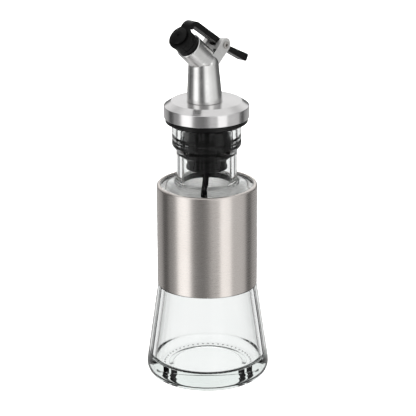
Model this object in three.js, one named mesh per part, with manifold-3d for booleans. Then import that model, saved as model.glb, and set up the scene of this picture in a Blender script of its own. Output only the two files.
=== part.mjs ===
// Oil and vinegar bottle: flared glass, steel sleeve, press-in stopper and a lever pourer.
// Millimetres, +Z up, origin at the middle of the foot; the spout pours towards -X.
import * as THREE from 'three';
import { mergeVertices } from 'three/addons/utils/BufferGeometryUtils.js';
import Module from 'manifold-3d';

const wasm = await Module();
wasm.setup();

// Clearances.
const FIT = 0.3; // between neighbouring pieces at rest
const SLEEVE_FIT = 0.4; // between the sleeve and the glass inside it
const EAR_FIT = 0.6; // between the lever and each ear
const COLLAR_GAP = 1; // between the seal's plain collar and the neck's bore
const COIL_CLEARANCE = 0.5; // between the hinge pin and the spring round it

// Fineness: segments round a turned piece, and steps in one fillet.
const WIDE_ROUND = 36;
const SMALL_ROUND = 24;
const ARC = 3;

// Glass bottle.
const FLARE_RADIUS = 36.95; // flare carried down to the table, before its rounding
const FLARE_HEIGHT = 56.9; // table to the ledge under the sleeve
const FOOT_FILLET = 8;
const PUNT_RADIUS = 21;
const PUNT_DEPTH = 1.2;
const PUNT_BEVEL = 3;
const GLASS_WALL = 3;
const FLOOR_THICKNESS = 10.5;
const FLOOR_FILLET = 6.5;
const INNER_WAIST_FILLET = 12;
const LEDGE_FILLET = 0.4;
const SHOULDER_RISE = 2.7;
const SHOULDER_FILLET = 4;
const NECK_BORE = 14.4;
const NECK_WALL = 3.1;
const NECK_HEIGHT = 36.6; // sleeve's top edge to the lip
const NECK_FILLET = 2.5;
const BEAD_REACH = 2.4;
const BEAD_TAPER = 3.2;
const BEAD_FILLET = 1.5;
const LOWER_BEAD_HEIGHT = 3.3;
const GROOVE_DROP = 9.7; // groove between the two beads, below the lip
const GROOVE_DEPTH = 0.7;
const GROOVE_HALF = 1;
const GROOVE_FILLET = 0.8;
const LIP_FILLET = 2;
const MOUTH_FILLET = 1.2;

// Steel sleeve.
const SLEEVE_RADIUS = 29;
const SLEEVE_HEIGHT = 60;
const SLEEVE_SHEET = 0.6;
const SLEEVE_LIP = 2;
const SLEEVE_FILLET = 1.2;

// Steel cap.
const CAP_RADIUS = 24.35;
const CAP_BEVEL = 4.15;
const CAP_SKIRT = 5.8;
const CAP_CHAMFER = 3.2;
const CAP_SHEET = 0.8;
const CAP_FILLET = 0.5;

// Stopper: gasket, ribbed seal and core.
const GASKET_INSET = 0.75; // gasket's edge inside the cap's
const GASKET_THICKNESS = 2.5;
const GASKET_FILLET = 0.6;
const FINS = 3;
const FIRST_FIN = 10.1; // below the lip
const FIN_PITCH = 4.45;
const FIN_REACH = 1.4;
const FIN_EDGE = 0.9;
const FIN_SLOPE = 0.9;
const FIN_TOP_SLOPE = 0.3;
const SEAL_WALL = 1.1;
const SEAL_TOE = 2.2; // last fin to the seal's foot
const SEAL_FOOT_EDGE = 0.4;
const COLLAR_FILLET = 0.5;
const STEM_TOE = 5.6; // seal's foot to the core's foot
const STEM_WALL = 2.9;
const STEM_LIP = 0.5;
const STEM_LIP_HEIGHT = 1.9;
const STEM_LIP_FILLET = 0.4;
const CHAMBER_DEPTH = 15.5;
const CHAMBER_SLOPE = 1.5;
const SPOKES = 3;
const SPOKE_WIDTH = 1.4;
const SPOKE_HEIGHT = 3.5;
const BOSS_WALL = 0.9;
const O_RING_SECTION = 0.85;

// Spout: an oblique cone, an elbow and an outlet tube with two ears.
const STUD_RADIUS = 6;
const STUD_WALL = 1;
const STUD_LENGTH = 22;
const SPOUT_FOOT_RADIUS = 10.2;
const SPOUT_FOOT_REACH = 1.5; // foot's centre, towards the outlet
const SPOUT_FOOT_PLATE = 1.6;
const ELBOW_RADIUS = 8.5;
const ELBOW_REACH = 2.4;
const ELBOW_RISE = 23.9;
const ELBOW_STEP = 0.2; // outlet's root inside the elbow
const OUTLET_TILT = 48; // from upright, towards the outlet
const OUTLET_RADIUS = 7.4;
const OUTLET_LENGTH = 16.4; // elbow to mouth, along the outlet
const OUTLET_TAPER = 5;
const OUTLET_SWEEP = 8;
const OUTLET_FILLET = 0.4;
const SPOUT_WALL = 1.2;
const EAR_THICKNESS = 2.5;
const EAR_WALL = 2.65; // round the hinge pin's hole
const EAR_LEAN = 7;
const EAR_FOOT = 0.5; // ear's foot, above the outlet's axis

// Bush in the mouth.
const BUSH_STEP = 0.9; // bush's head inside the outlet's edge
const BUSH_HEAD = 2.6;
const BUSH_WALL = 0.9;
const BUSH_SPIGOT = 7;
const BUSH_FILLET = 0.6;

// Hinge pin and its spring.
const PIN_RADIUS = 1;
const PIN_HEAD_REACH = 1.1;
const PIN_HEAD = 0.7;
const PIN_HEAD_FILLET = 0.3;
const RECESS_RADIUS = 0.9;
const RECESS_DEPTH = 0.5;
const WIRE_RADIUS = 0.32;
const COIL_TURNS = 1; // full turns, besides the part turn between the two legs
const COIL_SPAN = 2.2; // leg to leg, along the pin
const COIL_STEPS = 20;
const REAR_LEG = 11;
const FRONT_LEG = 3; // pivot to the foot on the outlet, along

// Lever; along runs out of the mouth from the elbow, across rises from the outlet's axis.
const PIVOT_RISE = 6.1; // above the outlet tube
const PIVOT_BACK = 3; // behind the elbow
const HUB_WALL = 0.5;
const LEVER_WIDTH = 6.46;
const ARM_HEIGHT = 2.9;
const ARM_REAR_RISE = 2.5; // arm's top above the pivot
const ARM_FRONT_RISE = 5.2; // arm's top above the outlet tube, carried on to the bend's front
const BEND_RADIUS = 6;
const BEND_THICKNESS = 3.4;
const BEND_INNER_FILLET = 1.2;
const RING_RADIUS = 7.1;
const RING_THICKNESS = 2;
const RING_FILLET = 0.5;
const TAIL_LENGTH = 24.7; // pivot to the middle of the tail's end, along
const TAIL_RISE = 6; // the same, across
const TAIL_SLOPE = 15;
const TAIL_THICKNESS = 3.4;
const TAIL_ROOT = 2.6; // thickness where the tail leaves the hub
const TAIL_SWEEP = 14;
const TAIL_ROOT_FILLET = 3;
const TAIL_FILLET = 1;
const RIB_WIDTH = 0.9;
const RIB_DEPTH = 0.35;

// Seal pad: its stem goes through the lever's ring and ends in a button.
const PAD_RADIUS = 6.6;
const PAD_THICKNESS = 3.7;
const PAD_FILLET = 0.5;
const PAD_STEM = 2;
const BUTTON_RADIUS = 5.2;
const BUTTON_HEIGHT = 1.2;
const BUTTON_DOME = 0.5;
const BUTTON_FILLET = 0.6;
const DOME_FILLET = 2;
const DIMPLE_RADIUS = 0.9;

// Breather pipe and vent tube.
const PIPE_RADIUS = 1.1;
const PIPE_WALL = 0.4;
const PIPE_TAIL = 10; // below the core's foot, inside the vent tube
const PIPE_OFFSET = 1.8; // behind the bottle's axis, inside the stud
const PIPE_ACROSS = 2.4; // above the outlet's axis
const PIPE_BEND = 5;
const PIPE_SHORT = 3.4; // pipe's end to the bush
const VENT_WALL = 0.4;
const VENT_LENGTH = 60;
const VENT_LEAN = 8;

// Heights that follow from the sizes above.
const sleeveBottom = FLARE_HEIGHT + FIT;
const sleeveTop = sleeveBottom + SLEEVE_HEIGHT;
const lipTop = sleeveTop + NECK_HEIGHT;
const grooveHeight = lipTop - GROOVE_DROP;
const gasketBottom = lipTop + FIT;
const capBottom = gasketBottom + GASKET_THICKNESS + FIT;
const capTop = capBottom + CAP_SKIRT + CAP_CHAMFER;
const capInside = capTop - CAP_SHEET;
const finDrop = (fin) => FIRST_FIN + fin * FIN_PITCH;
const sealBottom = lipTop - finDrop(FINS - 1) - SEAL_TOE;
const stemBottom = sealBottom - STEM_TOE;
const chamberTop = stemBottom + CHAMBER_DEPTH;
const spoutFoot = capTop + FIT;
const studBottom = spoutFoot - STUD_LENGTH;
const elbowHeight = spoutFoot + ELBOW_RISE;

// Radii that follow from the sizes above.
const bodyRadius = SLEEVE_RADIUS - SLEEVE_SHEET - SLEEVE_FIT;
const ledgeRadius = SLEEVE_RADIUS - FIT;
const finRadius = NECK_BORE - FIT;
const sealRoot = finRadius - FIN_REACH;
const sealInside = sealRoot - SEAL_WALL;
const stemRadius = sealInside - FIT;
const chamberRadius = stemRadius - STEM_WALL;
const capTopRadius = CAP_RADIUS - CAP_BEVEL;
const socketRadius = STUD_RADIUS + FIT;
const spoutBore = OUTLET_RADIUS - SPOUT_WALL;
const pinHoleRadius = PIN_RADIUS + FIT;
const earRadius = pinHoleRadius + EAR_WALL;
const hubRadius = pinHoleRadius + HUB_WALL;
const coilRadius = PIN_RADIUS + WIRE_RADIUS + COIL_CLEARANCE;
const ventBore = PIPE_RADIUS + FIT;
const ventRadius = ventBore + VENT_WALL;

// Stations of the lever and its spring, along and across the outlet.
const pivotAcross = OUTLET_RADIUS + PIVOT_RISE;
const pivotAlong = -PIVOT_BACK;
const padBack = OUTLET_LENGTH + BUSH_HEAD + 2 * FIT;
const padFront = padBack + PAD_THICKNESS;
const ringBack = padFront + FIT;
const ringFront = ringBack + RING_THICKNESS;
const earInside = LEVER_WIDTH / 2 + EAR_FIT;
const slotRadius = coilRadius + WIRE_RADIUS + 1.5 * FIT;
const coilNear = WIRE_RADIUS + 1.5 * FIT - earInside;
const coilFar = coilNear + COIL_SPAN;
const slotEnd = coilFar + WIRE_RADIUS + FIT;

const degrees = THREE.MathUtils.degToRad;
const between = THREE.MathUtils.mapLinear;

// Corners are [across, up] or [across, up, fillet]; every fillet becomes an arc.
function rounded(corners, steps = ARC) {
  const points = [];
  const origin = new THREE.Vector2();
  const corner = (i) => {
    const [u, v] = corners[(i + corners.length) % corners.length];
    return new THREE.Vector2(u, v);
  };
  corners.forEach(([, , fillet = 0], i) => {
    const at = corner(i);
    if (fillet === 0) {
      points.push(at);
      return;
    }
    const before = corner(i - 1).sub(at).normalize();
    const after = corner(i + 1).sub(at).normalize();
    const half = Math.acos(before.dot(after)) / 2;
    const bisector = before.clone().add(after).normalize();
    const centre = at.clone().addScaledVector(bisector, fillet / Math.sin(half));
    const start = at.clone().addScaledVector(before, fillet / Math.tan(half)).sub(centre);
    const turn = (Math.PI - 2 * half) * Math.sign(after.cross(before));
    for (let step = 0; step <= steps; step += 1) {
      points.push(start.clone().rotateAround(origin, (turn * step) / steps).add(centre));
    }
  });
  return points;
}

// A turned shape about +Z. The outline runs from axis to axis, or closes on itself as a ring.
function turned(corners, segments, steps = ARC) {
  const points = rounded(corners, steps);
  if (points[0].x > 0) {
    points.push(points[0].clone());
  }
  return new THREE.LatheGeometry(points, segments).rotateX(Math.PI / 2);
}

// A plate in the XZ plane, its thickness centred on Y.
function plate(corners, thickness, steps = ARC) {
  const shape = new THREE.Shape(rounded(corners, steps));
  const geometry = new THREE.ExtrudeGeometry(shape, { depth: thickness, bevelEnabled: false });
  return geometry.translate(0, 0, -thickness / 2).rotateX(Math.PI / 2);
}

// A cylinder on the Z axis from one height to another.
function post(radius, from, to, segments = SMALL_ROUND) {
  const geometry = new THREE.CylinderGeometry(radius, radius, to - from, segments, 1);
  return geometry.rotateX(Math.PI / 2).translate(0, 0, (from + to) / 2);
}

// A cylinder along Y, round the lever's pivot.
function pivotBar(radius, length, segments = SMALL_ROUND) {
  const geometry = new THREE.CylinderGeometry(radius, radius, length, segments, 1);
  return geometry.translate(pivotAcross, 0, pivotAlong);
}

// A round tube along a path; without a bore it is a solid wire.
function swept(path, radius, bore, steps, sides) {
  const shape = new THREE.Shape();
  shape.absarc(0, 0, radius, 0, 2 * Math.PI, false);
  if (bore > 0) {
    const hole = new THREE.Path();
    hole.absarc(0, 0, bore, 0, 2 * Math.PI, true);
    shape.holes.push(hole);
  }
  return new THREE.ExtrudeGeometry(shape, {
    steps,
    curveSegments: sides / 2,
    extrudePath: path,
    bevelEnabled: false,
  });
}

// Closed solids for joining and cutting.
function solid(geometry) {
  const bare = geometry.clone();
  bare.deleteAttribute('normal');
  bare.deleteAttribute('uv');
  const merged = mergeVertices(bare, 1e-4);
  const index = merged.index.array;
  const triangles = [];
  for (let i = 0; i < index.length; i += 3) {
    const [a, b, c] = index.slice(i, i + 3);
    if (a !== b && b !== c && c !== a) {
      triangles.push(a, b, c);
    }
  }
  return new wasm.Manifold(new wasm.Mesh({
    numProp: 3,
    vertProperties: Float32Array.from(merged.attributes.position.array),
    triVerts: Uint32Array.from(triangles),
  }));
}

function joined(...geometries) {
  return geometries.map(solid).reduce((whole, next) => whole.add(next));
}

function piece(group, name, body, colour, roughness, metalness) {
  const faces = body.getMesh();
  const geometry = new THREE.BufferGeometry();
  geometry.setAttribute('position', new THREE.BufferAttribute(faces.vertProperties, 3));
  geometry.setIndex(new THREE.BufferAttribute(faces.triVerts, 1));
  geometry.computeVertexNormals();
  const material = new THREE.MeshStandardMaterial({ color: colour, roughness, metalness });
  const mesh = new THREE.Mesh(geometry, material);
  mesh.name = name;
  group.add(mesh);
}

// Glass: foot, flare, ledge for the sleeve, body, shoulder, neck with two beads, then the inside.
function glassBottle() {
  const shoulderEdge = sleeveTop - SLEEVE_SHEET - FIT;
  const shoulderTop = shoulderEdge + SHOULDER_RISE;
  const neckRadius = NECK_BORE + NECK_WALL;
  const beadRadius = neckRadius + BEAD_REACH;
  const beadFoot = grooveHeight - LOWER_BEAD_HEIGHT;
  const innerBody = bodyRadius - GLASS_WALL;
  const innerFoot = between(FLOOR_THICKNESS, 0, FLARE_HEIGHT, FLARE_RADIUS, ledgeRadius) - GLASS_WALL;
  const profile = [
    [0, PUNT_DEPTH],
    [PUNT_RADIUS - PUNT_BEVEL, PUNT_DEPTH],
    [PUNT_RADIUS, 0],
    [FLARE_RADIUS, 0, FOOT_FILLET],
    [ledgeRadius, FLARE_HEIGHT, LEDGE_FILLET],
    [bodyRadius, FLARE_HEIGHT],
    [bodyRadius, shoulderEdge, SHOULDER_FILLET],
    [neckRadius, shoulderTop, NECK_FILLET],
    [neckRadius, beadFoot - BEAD_TAPER, NECK_FILLET],
    [beadRadius, beadFoot, BEAD_FILLET],
    [beadRadius, grooveHeight - GROOVE_HALF, GROOVE_FILLET],
    [beadRadius - GROOVE_DEPTH, grooveHeight],
    [beadRadius, grooveHeight + GROOVE_HALF, GROOVE_FILLET],
    [beadRadius, lipTop, LIP_FILLET],
    [NECK_BORE, lipTop, MOUTH_FILLET],
    [NECK_BORE, shoulderTop - GLASS_WALL, NECK_FILLET],
    [innerBody, shoulderEdge - GLASS_WALL, SHOULDER_FILLET],
    [innerBody, FLARE_HEIGHT, INNER_WAIST_FILLET],
    [innerFoot, FLOOR_THICKNESS, FLOOR_FILLET],
    [0, FLOOR_THICKNESS],
  ];
  return solid(turned(profile, WIDE_ROUND));
}

// Sheet-steel sleeve with its top edge turned in over the shoulder.
function steelSleeve() {
  const inside = SLEEVE_RADIUS - SLEEVE_SHEET;
  const profile = [
    [SLEEVE_RADIUS, sleeveBottom],
    [SLEEVE_RADIUS, sleeveTop, SLEEVE_FILLET],
    [SLEEVE_RADIUS - SLEEVE_LIP, sleeveTop],
    [SLEEVE_RADIUS - SLEEVE_LIP, sleeveTop - SLEEVE_SHEET],
    [inside, sleeveTop - SLEEVE_SHEET, SLEEVE_FILLET / 2],
    [inside, sleeveBottom],
  ];
  return solid(turned(profile, WIDE_ROUND));
}

function flangeGasket() {
  const outside = CAP_RADIUS - GASKET_INSET;
  const top = gasketBottom + GASKET_THICKNESS;
  const profile = [
    [sealInside, gasketBottom],
    [outside, gasketBottom, GASKET_FILLET],
    [outside, top, GASKET_FILLET],
    [sealInside, top],
  ];
  return solid(turned(profile, WIDE_ROUND, 2));
}

// Soft stopper sleeve: a plain collar on top and a row of fins with sloping undersides.
function ribbedSeal() {
  const collarRadius = NECK_BORE - COLLAR_GAP;
  const profile = [[sealInside, sealBottom], [sealInside + SEAL_FOOT_EDGE, sealBottom]];
  for (let fin = FINS - 1; fin >= 0; fin -= 1) {
    const tip = lipTop - finDrop(fin);
    const underside = tip - FIN_EDGE / 2;
    const topside = tip + FIN_EDGE / 2;
    if (fin < FINS - 1) {
      profile.push([sealRoot, underside - FIN_SLOPE]);
    }
    profile.push([finRadius, underside], [finRadius, topside], [sealRoot, topside + FIN_TOP_SLOPE]);
  }
  const collar = lipTop - FIRST_FIN + FIN_EDGE / 2 + FIN_SLOPE;
  profile.push(
    [sealRoot, collar],
    [collarRadius, collar + collarRadius - sealRoot],
    [collarRadius, lipTop, COLLAR_FILLET],
    [sealInside, lipTop],
  );
  return solid(turned(profile, SMALL_ROUND + 4));
}

// Plastic core: a disc that fills the cap, a stem through the seal, and a spider for the pipe.
function stopperCore() {
  const discRadius = CAP_RADIUS - CAP_SHEET - FIT;
  const discTop = capInside - FIT;
  const chamferFoot = capBottom + CAP_SKIRT - CAP_SHEET;
  const lipRadius = stemRadius + STEM_LIP;
  const grooveRadius = STUD_RADIUS + 2 * O_RING_SECTION + 3 * FIT;
  const grooveFloor = discTop - 2 * O_RING_SECTION;
  const outer = [
    [socketRadius, chamberTop],
    [chamberRadius, chamberTop - CHAMBER_SLOPE],
    [chamberRadius, stemBottom],
    [lipRadius, stemBottom, STEM_LIP_FILLET],
    [lipRadius, stemBottom + STEM_LIP_HEIGHT, STEM_LIP_FILLET],
    [stemRadius, stemBottom + STEM_LIP_HEIGHT],
    [stemRadius, capBottom],
    [discRadius, capBottom],
    [discRadius, chamferFoot],
    [capTopRadius - CAP_SHEET, discTop],
    [grooveRadius, discTop],
    [grooveRadius, grooveFloor],
    [socketRadius, grooveFloor],
  ];
  let core = solid(turned(outer, WIDE_ROUND, 2));
  const spiderTop = stemBottom + SPOKE_HEIGHT;
  core = core.add(solid(post(ventRadius + BOSS_WALL, stemBottom, spiderTop)));
  const spokeLength = chamberRadius + STEM_WALL / 2;
  for (let spoke = 0; spoke < SPOKES; spoke += 1) {
    const bar = new THREE.BoxGeometry(spokeLength, SPOKE_WIDTH, SPOKE_HEIGHT);
    bar.translate(spokeLength / 2, 0, stemBottom + SPOKE_HEIGHT / 2);
    bar.rotateZ((2 * Math.PI * spoke) / SPOKES);
    core = core.add(solid(bar));
  }
  const pipeHole = post(ventBore + FIT / 2, stemBottom - FIT, spiderTop + FIT, 16);
  return core.subtract(solid(pipeHole));
}

function flangeCap() {
  const skirtTop = capBottom + CAP_SKIRT;
  const profile = [
    [CAP_RADIUS, capBottom],
    [CAP_RADIUS, skirtTop, CAP_FILLET],
    [capTopRadius, capTop, CAP_FILLET],
    [socketRadius, capTop],
    [socketRadius, capInside],
    [capTopRadius - CAP_SHEET / 2, capInside],
    [CAP_RADIUS - CAP_SHEET, skirtTop - CAP_SHEET / 2],
    [CAP_RADIUS - CAP_SHEET, capBottom],
  ];
  return solid(turned(profile, WIDE_ROUND, 2));
}

function spoutORing() {
  const middle = STUD_RADIUS + O_RING_SECTION + 1.5 * FIT;
  const height = capInside - FIT / 2 - O_RING_SECTION;
  const ring = new THREE.TorusGeometry(middle, O_RING_SECTION, 8, SMALL_ROUND);
  return solid(ring.translate(0, 0, height));
}

// The outlet's own frame: local +Z runs out of the mouth, local +X is up and back.
const outletFrame = new THREE.Matrix4()
  .makeRotationY(-degrees(OUTLET_TILT))
  .setPosition(-ELBOW_REACH, 0, elbowHeight);

// Leans an upright shape so that its axis runs from the spout's foot to the elbow.
function leaned(geometry) {
  const lean = (SPOUT_FOOT_REACH - ELBOW_REACH) / ELBOW_RISE;
  const shear = new THREE.Matrix4().makeShear(0, 0, 0, 0, lean, 0);
  return geometry.applyMatrix4(shear).translate(-SPOUT_FOOT_REACH, 0, spoutFoot);
}

// An ear leans back a little on its way down and has a round top; just under a half round, so
// that its two arcs stay apart.
function earOutline() {
  const lean = degrees(EAR_LEAN);
  const down = new THREE.Vector2(-Math.cos(lean), Math.sin(lean));
  const side = new THREE.Vector2(-down.y, down.x);
  const length = pivotAcross - EAR_FOOT;
  const topFillet = earRadius * 0.999;
  const at = (below, aside, fillet) => {
    const u = pivotAcross + down.x * below + side.x * aside;
    const v = pivotAlong + down.y * below + side.y * aside;
    return [u, v, fillet];
  };
  return [
    at(-earRadius, -earRadius, topFillet),
    at(-earRadius, earRadius, topFillet),
    at(length, earRadius, 0),
    at(length, -earRadius, 0),
  ];
}

// Cast spout: oblique cone, ball elbow, outlet tube, ears and hollow stud, bored through.
function spoutBody() {
  const cone = new THREE.CylinderGeometry(
    ELBOW_RADIUS, SPOUT_FOOT_RADIUS, ELBOW_RISE, WIDE_ROUND, 1,
  );
  cone.rotateX(Math.PI / 2).translate(0, 0, ELBOW_RISE / 2);
  const ball = new THREE.SphereGeometry(ELBOW_RADIUS, SMALL_ROUND, 16);
  const outlet = turned([
    [0, 0],
    [ELBOW_RADIUS - ELBOW_STEP, 0],
    [OUTLET_RADIUS, OUTLET_TAPER, OUTLET_SWEEP],
    [OUTLET_RADIUS, OUTLET_LENGTH, OUTLET_FILLET],
    [0, OUTLET_LENGTH],
  ], SMALL_ROUND + 4);
  const stud = post(STUD_RADIUS, studBottom, spoutFoot + SPOUT_FOOT_PLATE / 2);
  let body = joined(
    leaned(cone),
    ball.applyMatrix4(outletFrame),
    outlet.applyMatrix4(outletFrame),
    stud,
  );
  const earMiddle = earInside + EAR_THICKNESS / 2;
  [-earMiddle, earMiddle].forEach((y) => {
    const ear = plate(earOutline(), EAR_THICKNESS, 8).translate(0, y, 0);
    body = body.add(solid(ear.applyMatrix4(outletFrame)));
  });
  const upright = leaned(post(spoutBore, SPOUT_FOOT_PLATE, ELBOW_RISE));
  const elbow = new THREE.SphereGeometry(spoutBore, SMALL_ROUND, 14);
  const mouth = post(spoutBore, 0, OUTLET_LENGTH + FIT);
  const throat = post(STUD_RADIUS - STUD_WALL, studBottom - FIT, spoutFoot + SPOUT_FOOT_PLATE + FIT);
  const pinHole = pivotBar(pinHoleRadius, 4 * earMiddle, 20);
  const bores = joined(
    upright,
    elbow.applyMatrix4(outletFrame),
    mouth.applyMatrix4(outletFrame),
    throat,
    pinHole.applyMatrix4(outletFrame),
  );
  return body.subtract(bores);
}

function spoutBush() {
  const headBack = OUTLET_LENGTH + FIT;
  const headFront = headBack + BUSH_HEAD;
  const headRadius = OUTLET_RADIUS - BUSH_STEP;
  const spigotRadius = spoutBore - FIT;
  const spigotBack = OUTLET_LENGTH - BUSH_SPIGOT;
  const bore = spigotRadius - BUSH_WALL;
  const profile = [
    [bore, spigotBack],
    [spigotRadius, spigotBack, BUSH_FILLET],
    [spigotRadius, headBack],
    [headRadius, headBack],
    [headRadius, headFront, BUSH_FILLET],
    [bore, headFront, BUSH_FILLET / 2],
  ];
  return solid(turned(profile, SMALL_ROUND));
}

// Edges of the lever's arm and tail, as heights across the outlet.
const armTop = (along) => between(
  along, pivotAlong, ringFront, pivotAcross + ARM_REAR_RISE, OUTLET_RADIUS + ARM_FRONT_RISE,
);
const armBottom = (along) => armTop(along) - ARM_HEIGHT;
const tailEnd = pivotAlong - TAIL_LENGTH;
const tailSlope = degrees(TAIL_SLOPE);
const tailMiddle = (along) => pivotAcross + TAIL_RISE + (tailEnd - along) * Math.tan(tailSlope);
const tailHalf = TAIL_THICKNESS / 2 / Math.cos(tailSlope);
const tailRootDrop = (TAIL_ROOT - TAIL_THICKNESS / 2) / Math.cos(tailSlope);
const tailTop = (along) => tailMiddle(along) + tailHalf;
const tailBottom = (along) => {
  return tailMiddle(along) - between(along, tailEnd, pivotAlong, tailHalf, tailRootDrop);
};

// Lever: arm, bend and tail from one outline, plus the hub and the ring at the front.
function lever() {
  const bendBack = ringFront - BEND_THICKNESS;
  const knee = pivotAlong - hubRadius;
  const ringTop = PAD_RADIUS + 2 * FIT;
  const endLean = tailHalf * Math.sin(tailSlope);
  const endAcross = tailMiddle(tailEnd);
  const outline = [
    [0, ringFront],
    [0, ringBack],
    [ringTop, ringBack],
    [ringTop, bendBack],
    [armBottom(bendBack), bendBack, BEND_INNER_FILLET],
    [armBottom(pivotAlong), pivotAlong],
    [tailBottom(knee), knee, TAIL_ROOT_FILLET],
    [endAcross - tailHalf, tailEnd - endLean, TAIL_FILLET],
    [endAcross + tailHalf, tailEnd + endLean, TAIL_FILLET],
    [tailTop(2 * knee), 2 * knee, TAIL_SWEEP],
    [armTop(pivotAlong), pivotAlong],
    [armTop(ringFront), ringFront, BEND_RADIUS],
  ];
  const bar = plate(outline, LEVER_WIDTH, 5);
  const ring = turned([
    [0, ringBack],
    [RING_RADIUS, ringBack, RING_FILLET],
    [RING_RADIUS, ringFront, RING_FILLET],
    [0, ringFront],
  ], SMALL_ROUND + 4, 2);
  const hub = pivotBar(hubRadius, LEVER_WIDTH);
  const pinHole = pivotBar(pinHoleRadius, 2 * LEVER_WIDTH, 20);
  const slot = pivotBar(slotRadius, LEVER_WIDTH).translate(0, slotEnd - LEVER_WIDTH / 2, 0);
  const stemHole = post(PAD_STEM + FIT, ringBack - FIT, ringFront + FIT, 16);
  const legEnd = pivotAlong - REAR_LEG - 2 * FIT;
  const legDepth = 2 * WIRE_RADIUS + FIT;
  const legOutline = [
    [tailBottom(legEnd) - legDepth, legEnd],
    [tailBottom(legEnd) + legDepth, legEnd],
    [tailBottom(pivotAlong) + legDepth, pivotAlong],
    [tailBottom(pivotAlong) - legDepth, pivotAlong],
  ];
  const legGroove = plate(legOutline, 2 * (WIRE_RADIUS + FIT)).translate(0, coilFar, 0);
  let cuts = joined(pinHole, slot, stemHole, legGroove);
  const ribRear = pivotAlong + 2 * earRadius;
  const ribFront = ringFront - BEND_RADIUS;
  const ribOutline = [
    [armBottom(ribRear) + RIB_DEPTH, ribRear],
    [armBottom(ribFront) + RIB_DEPTH, ribFront],
    [armBottom(ribFront) - RIB_DEPTH, ribFront],
    [armBottom(ribRear) - RIB_DEPTH, ribRear],
  ];
  [-1.5 * RIB_WIDTH, 1.5 * RIB_WIDTH].forEach((y) => {
    cuts = cuts.add(solid(plate(ribOutline, RIB_WIDTH).translate(0, y, 0)));
  });
  return joined(bar, ring, hub).subtract(cuts);
}

// Soft pad that closes the bush; stem and button hold it in the lever's ring.
function sealPad() {
  const buttonBack = ringFront + FIT;
  const buttonFront = buttonBack + BUTTON_HEIGHT;
  const crown = buttonFront + BUTTON_DOME;
  const profile = [
    [0, padBack],
    [PAD_RADIUS, padBack, PAD_FILLET],
    [PAD_RADIUS, padFront, PAD_FILLET],
    [PAD_STEM, padFront],
    [PAD_STEM, buttonBack],
    [BUTTON_RADIUS, buttonBack],
    [BUTTON_RADIUS, buttonFront, BUTTON_FILLET],
    [BUTTON_RADIUS / 2, crown, DOME_FILLET],
    [DIMPLE_RADIUS, crown],
    [DIMPLE_RADIUS / 2, crown - DIMPLE_RADIUS],
    [0, crown - DIMPLE_RADIUS],
  ];
  return solid(turned(profile, SMALL_ROUND, 2));
}

// Rivet through ears and lever, with a hollow in each head.
function hingePin() {
  const headRadius = PIN_RADIUS + PIN_HEAD_REACH;
  const seat = earInside + EAR_THICKNESS + FIT / 2;
  const end = seat + PIN_HEAD;
  const recess = end - RECESS_DEPTH;
  const profile = [
    [0, -recess],
    [RECESS_RADIUS, -recess],
    [RECESS_RADIUS, -end],
    [headRadius, -end, PIN_HEAD_FILLET],
    [headRadius, -seat],
    [PIN_RADIUS, -seat],
    [PIN_RADIUS, seat],
    [headRadius, seat],
    [headRadius, end, PIN_HEAD_FILLET],
    [RECESS_RADIUS, end],
    [RECESS_RADIUS, recess],
    [0, recess],
  ];
  const rivet = turned(profile, 16, 1).rotateX(Math.PI / 2);
  return solid(rivet.translate(pivotAcross, 0, pivotAlong));
}

// Torsion spring beside the near ear: its first leg stands on the outlet, the wire goes round
// the pin, and its last leg lies in the groove under the tail.
function springPath() {
  const inGroove = (along) => tailBottom(along) + WIRE_RADIUS;
  const rearEnd = pivotAlong - REAR_LEG;
  const rearSlot = pivotAlong - slotRadius;
  const outletEdge = Math.sqrt(ELBOW_RADIUS ** 2 - coilNear ** 2);
  const foot = new THREE.Vector2(outletEdge + WIRE_RADIUS + FIT - pivotAcross, FRONT_LEG);
  const start = foot.angle() + Math.acos(coilRadius / foot.length());
  const end = Math.PI * (3 + 2 * (COIL_TURNS - 1));
  const onCoil = (part, y) => {
    const turn = start + (end - start) * part;
    return new THREE.Vector3(
      pivotAcross + coilRadius * Math.cos(turn), y, pivotAlong + coilRadius * Math.sin(turn),
    );
  };
  const footPoint = new THREE.Vector3(pivotAcross + foot.x, coilNear, pivotAlong + foot.y);
  const points = [footPoint, footPoint.clone().lerp(onCoil(0, coilNear), 0.5)];
  for (let step = 0; step <= COIL_STEPS; step += 1) {
    const part = step / COIL_STEPS;
    points.push(onCoil(part, between(part, 0, 1, coilNear, coilFar)));
  }
  points.push(
    new THREE.Vector3(inGroove(rearSlot), coilFar, rearSlot),
    new THREE.Vector3(inGroove(rearEnd), coilFar, rearEnd),
  );
  return new THREE.CatmullRomCurve3(points, false, 'centripetal');
}

// Least clear distance between stretches of a wire that are more than half a turn apart.
function leastGap(path, wireRadius, halfTurn) {
  const count = 400;
  const samples = path.getSpacedPoints(count);
  const apart = Math.ceil((halfTurn * count) / path.getLength());
  let least = Infinity;
  for (let i = 0; i < samples.length; i += 1) {
    for (let j = i + apart; j < samples.length; j += 1) {
      least = Math.min(least, samples[i].distanceTo(samples[j]));
    }
  }
  return least - 2 * wireRadius;
}

function torsionSpring() {
  const path = springPath();
  const gap = leastGap(path, WIRE_RADIUS, Math.PI * coilRadius);
  console.log(`torsion spring: least gap to itself ${gap.toFixed(2)} mm`);
  const steps = 2 * COIL_STEPS + 8;
  return solid(swept(path, WIRE_RADIUS, 0, steps, 6));
}

// The vent's straight line below the core, leaning towards the outlet.
const ventLean = degrees(VENT_LEAN);
const ventTop = stemBottom - FIT;
const ventPoint = (below) => new THREE.Vector3(
  -Math.sin(ventLean) * below, 0, ventTop - Math.cos(ventLean) * below,
);

function ventTube() {
  const path = new THREE.LineCurve3(ventPoint(VENT_LENGTH), ventPoint(0));
  return solid(swept(path, ventRadius, ventBore, 1, 14));
}

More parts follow.
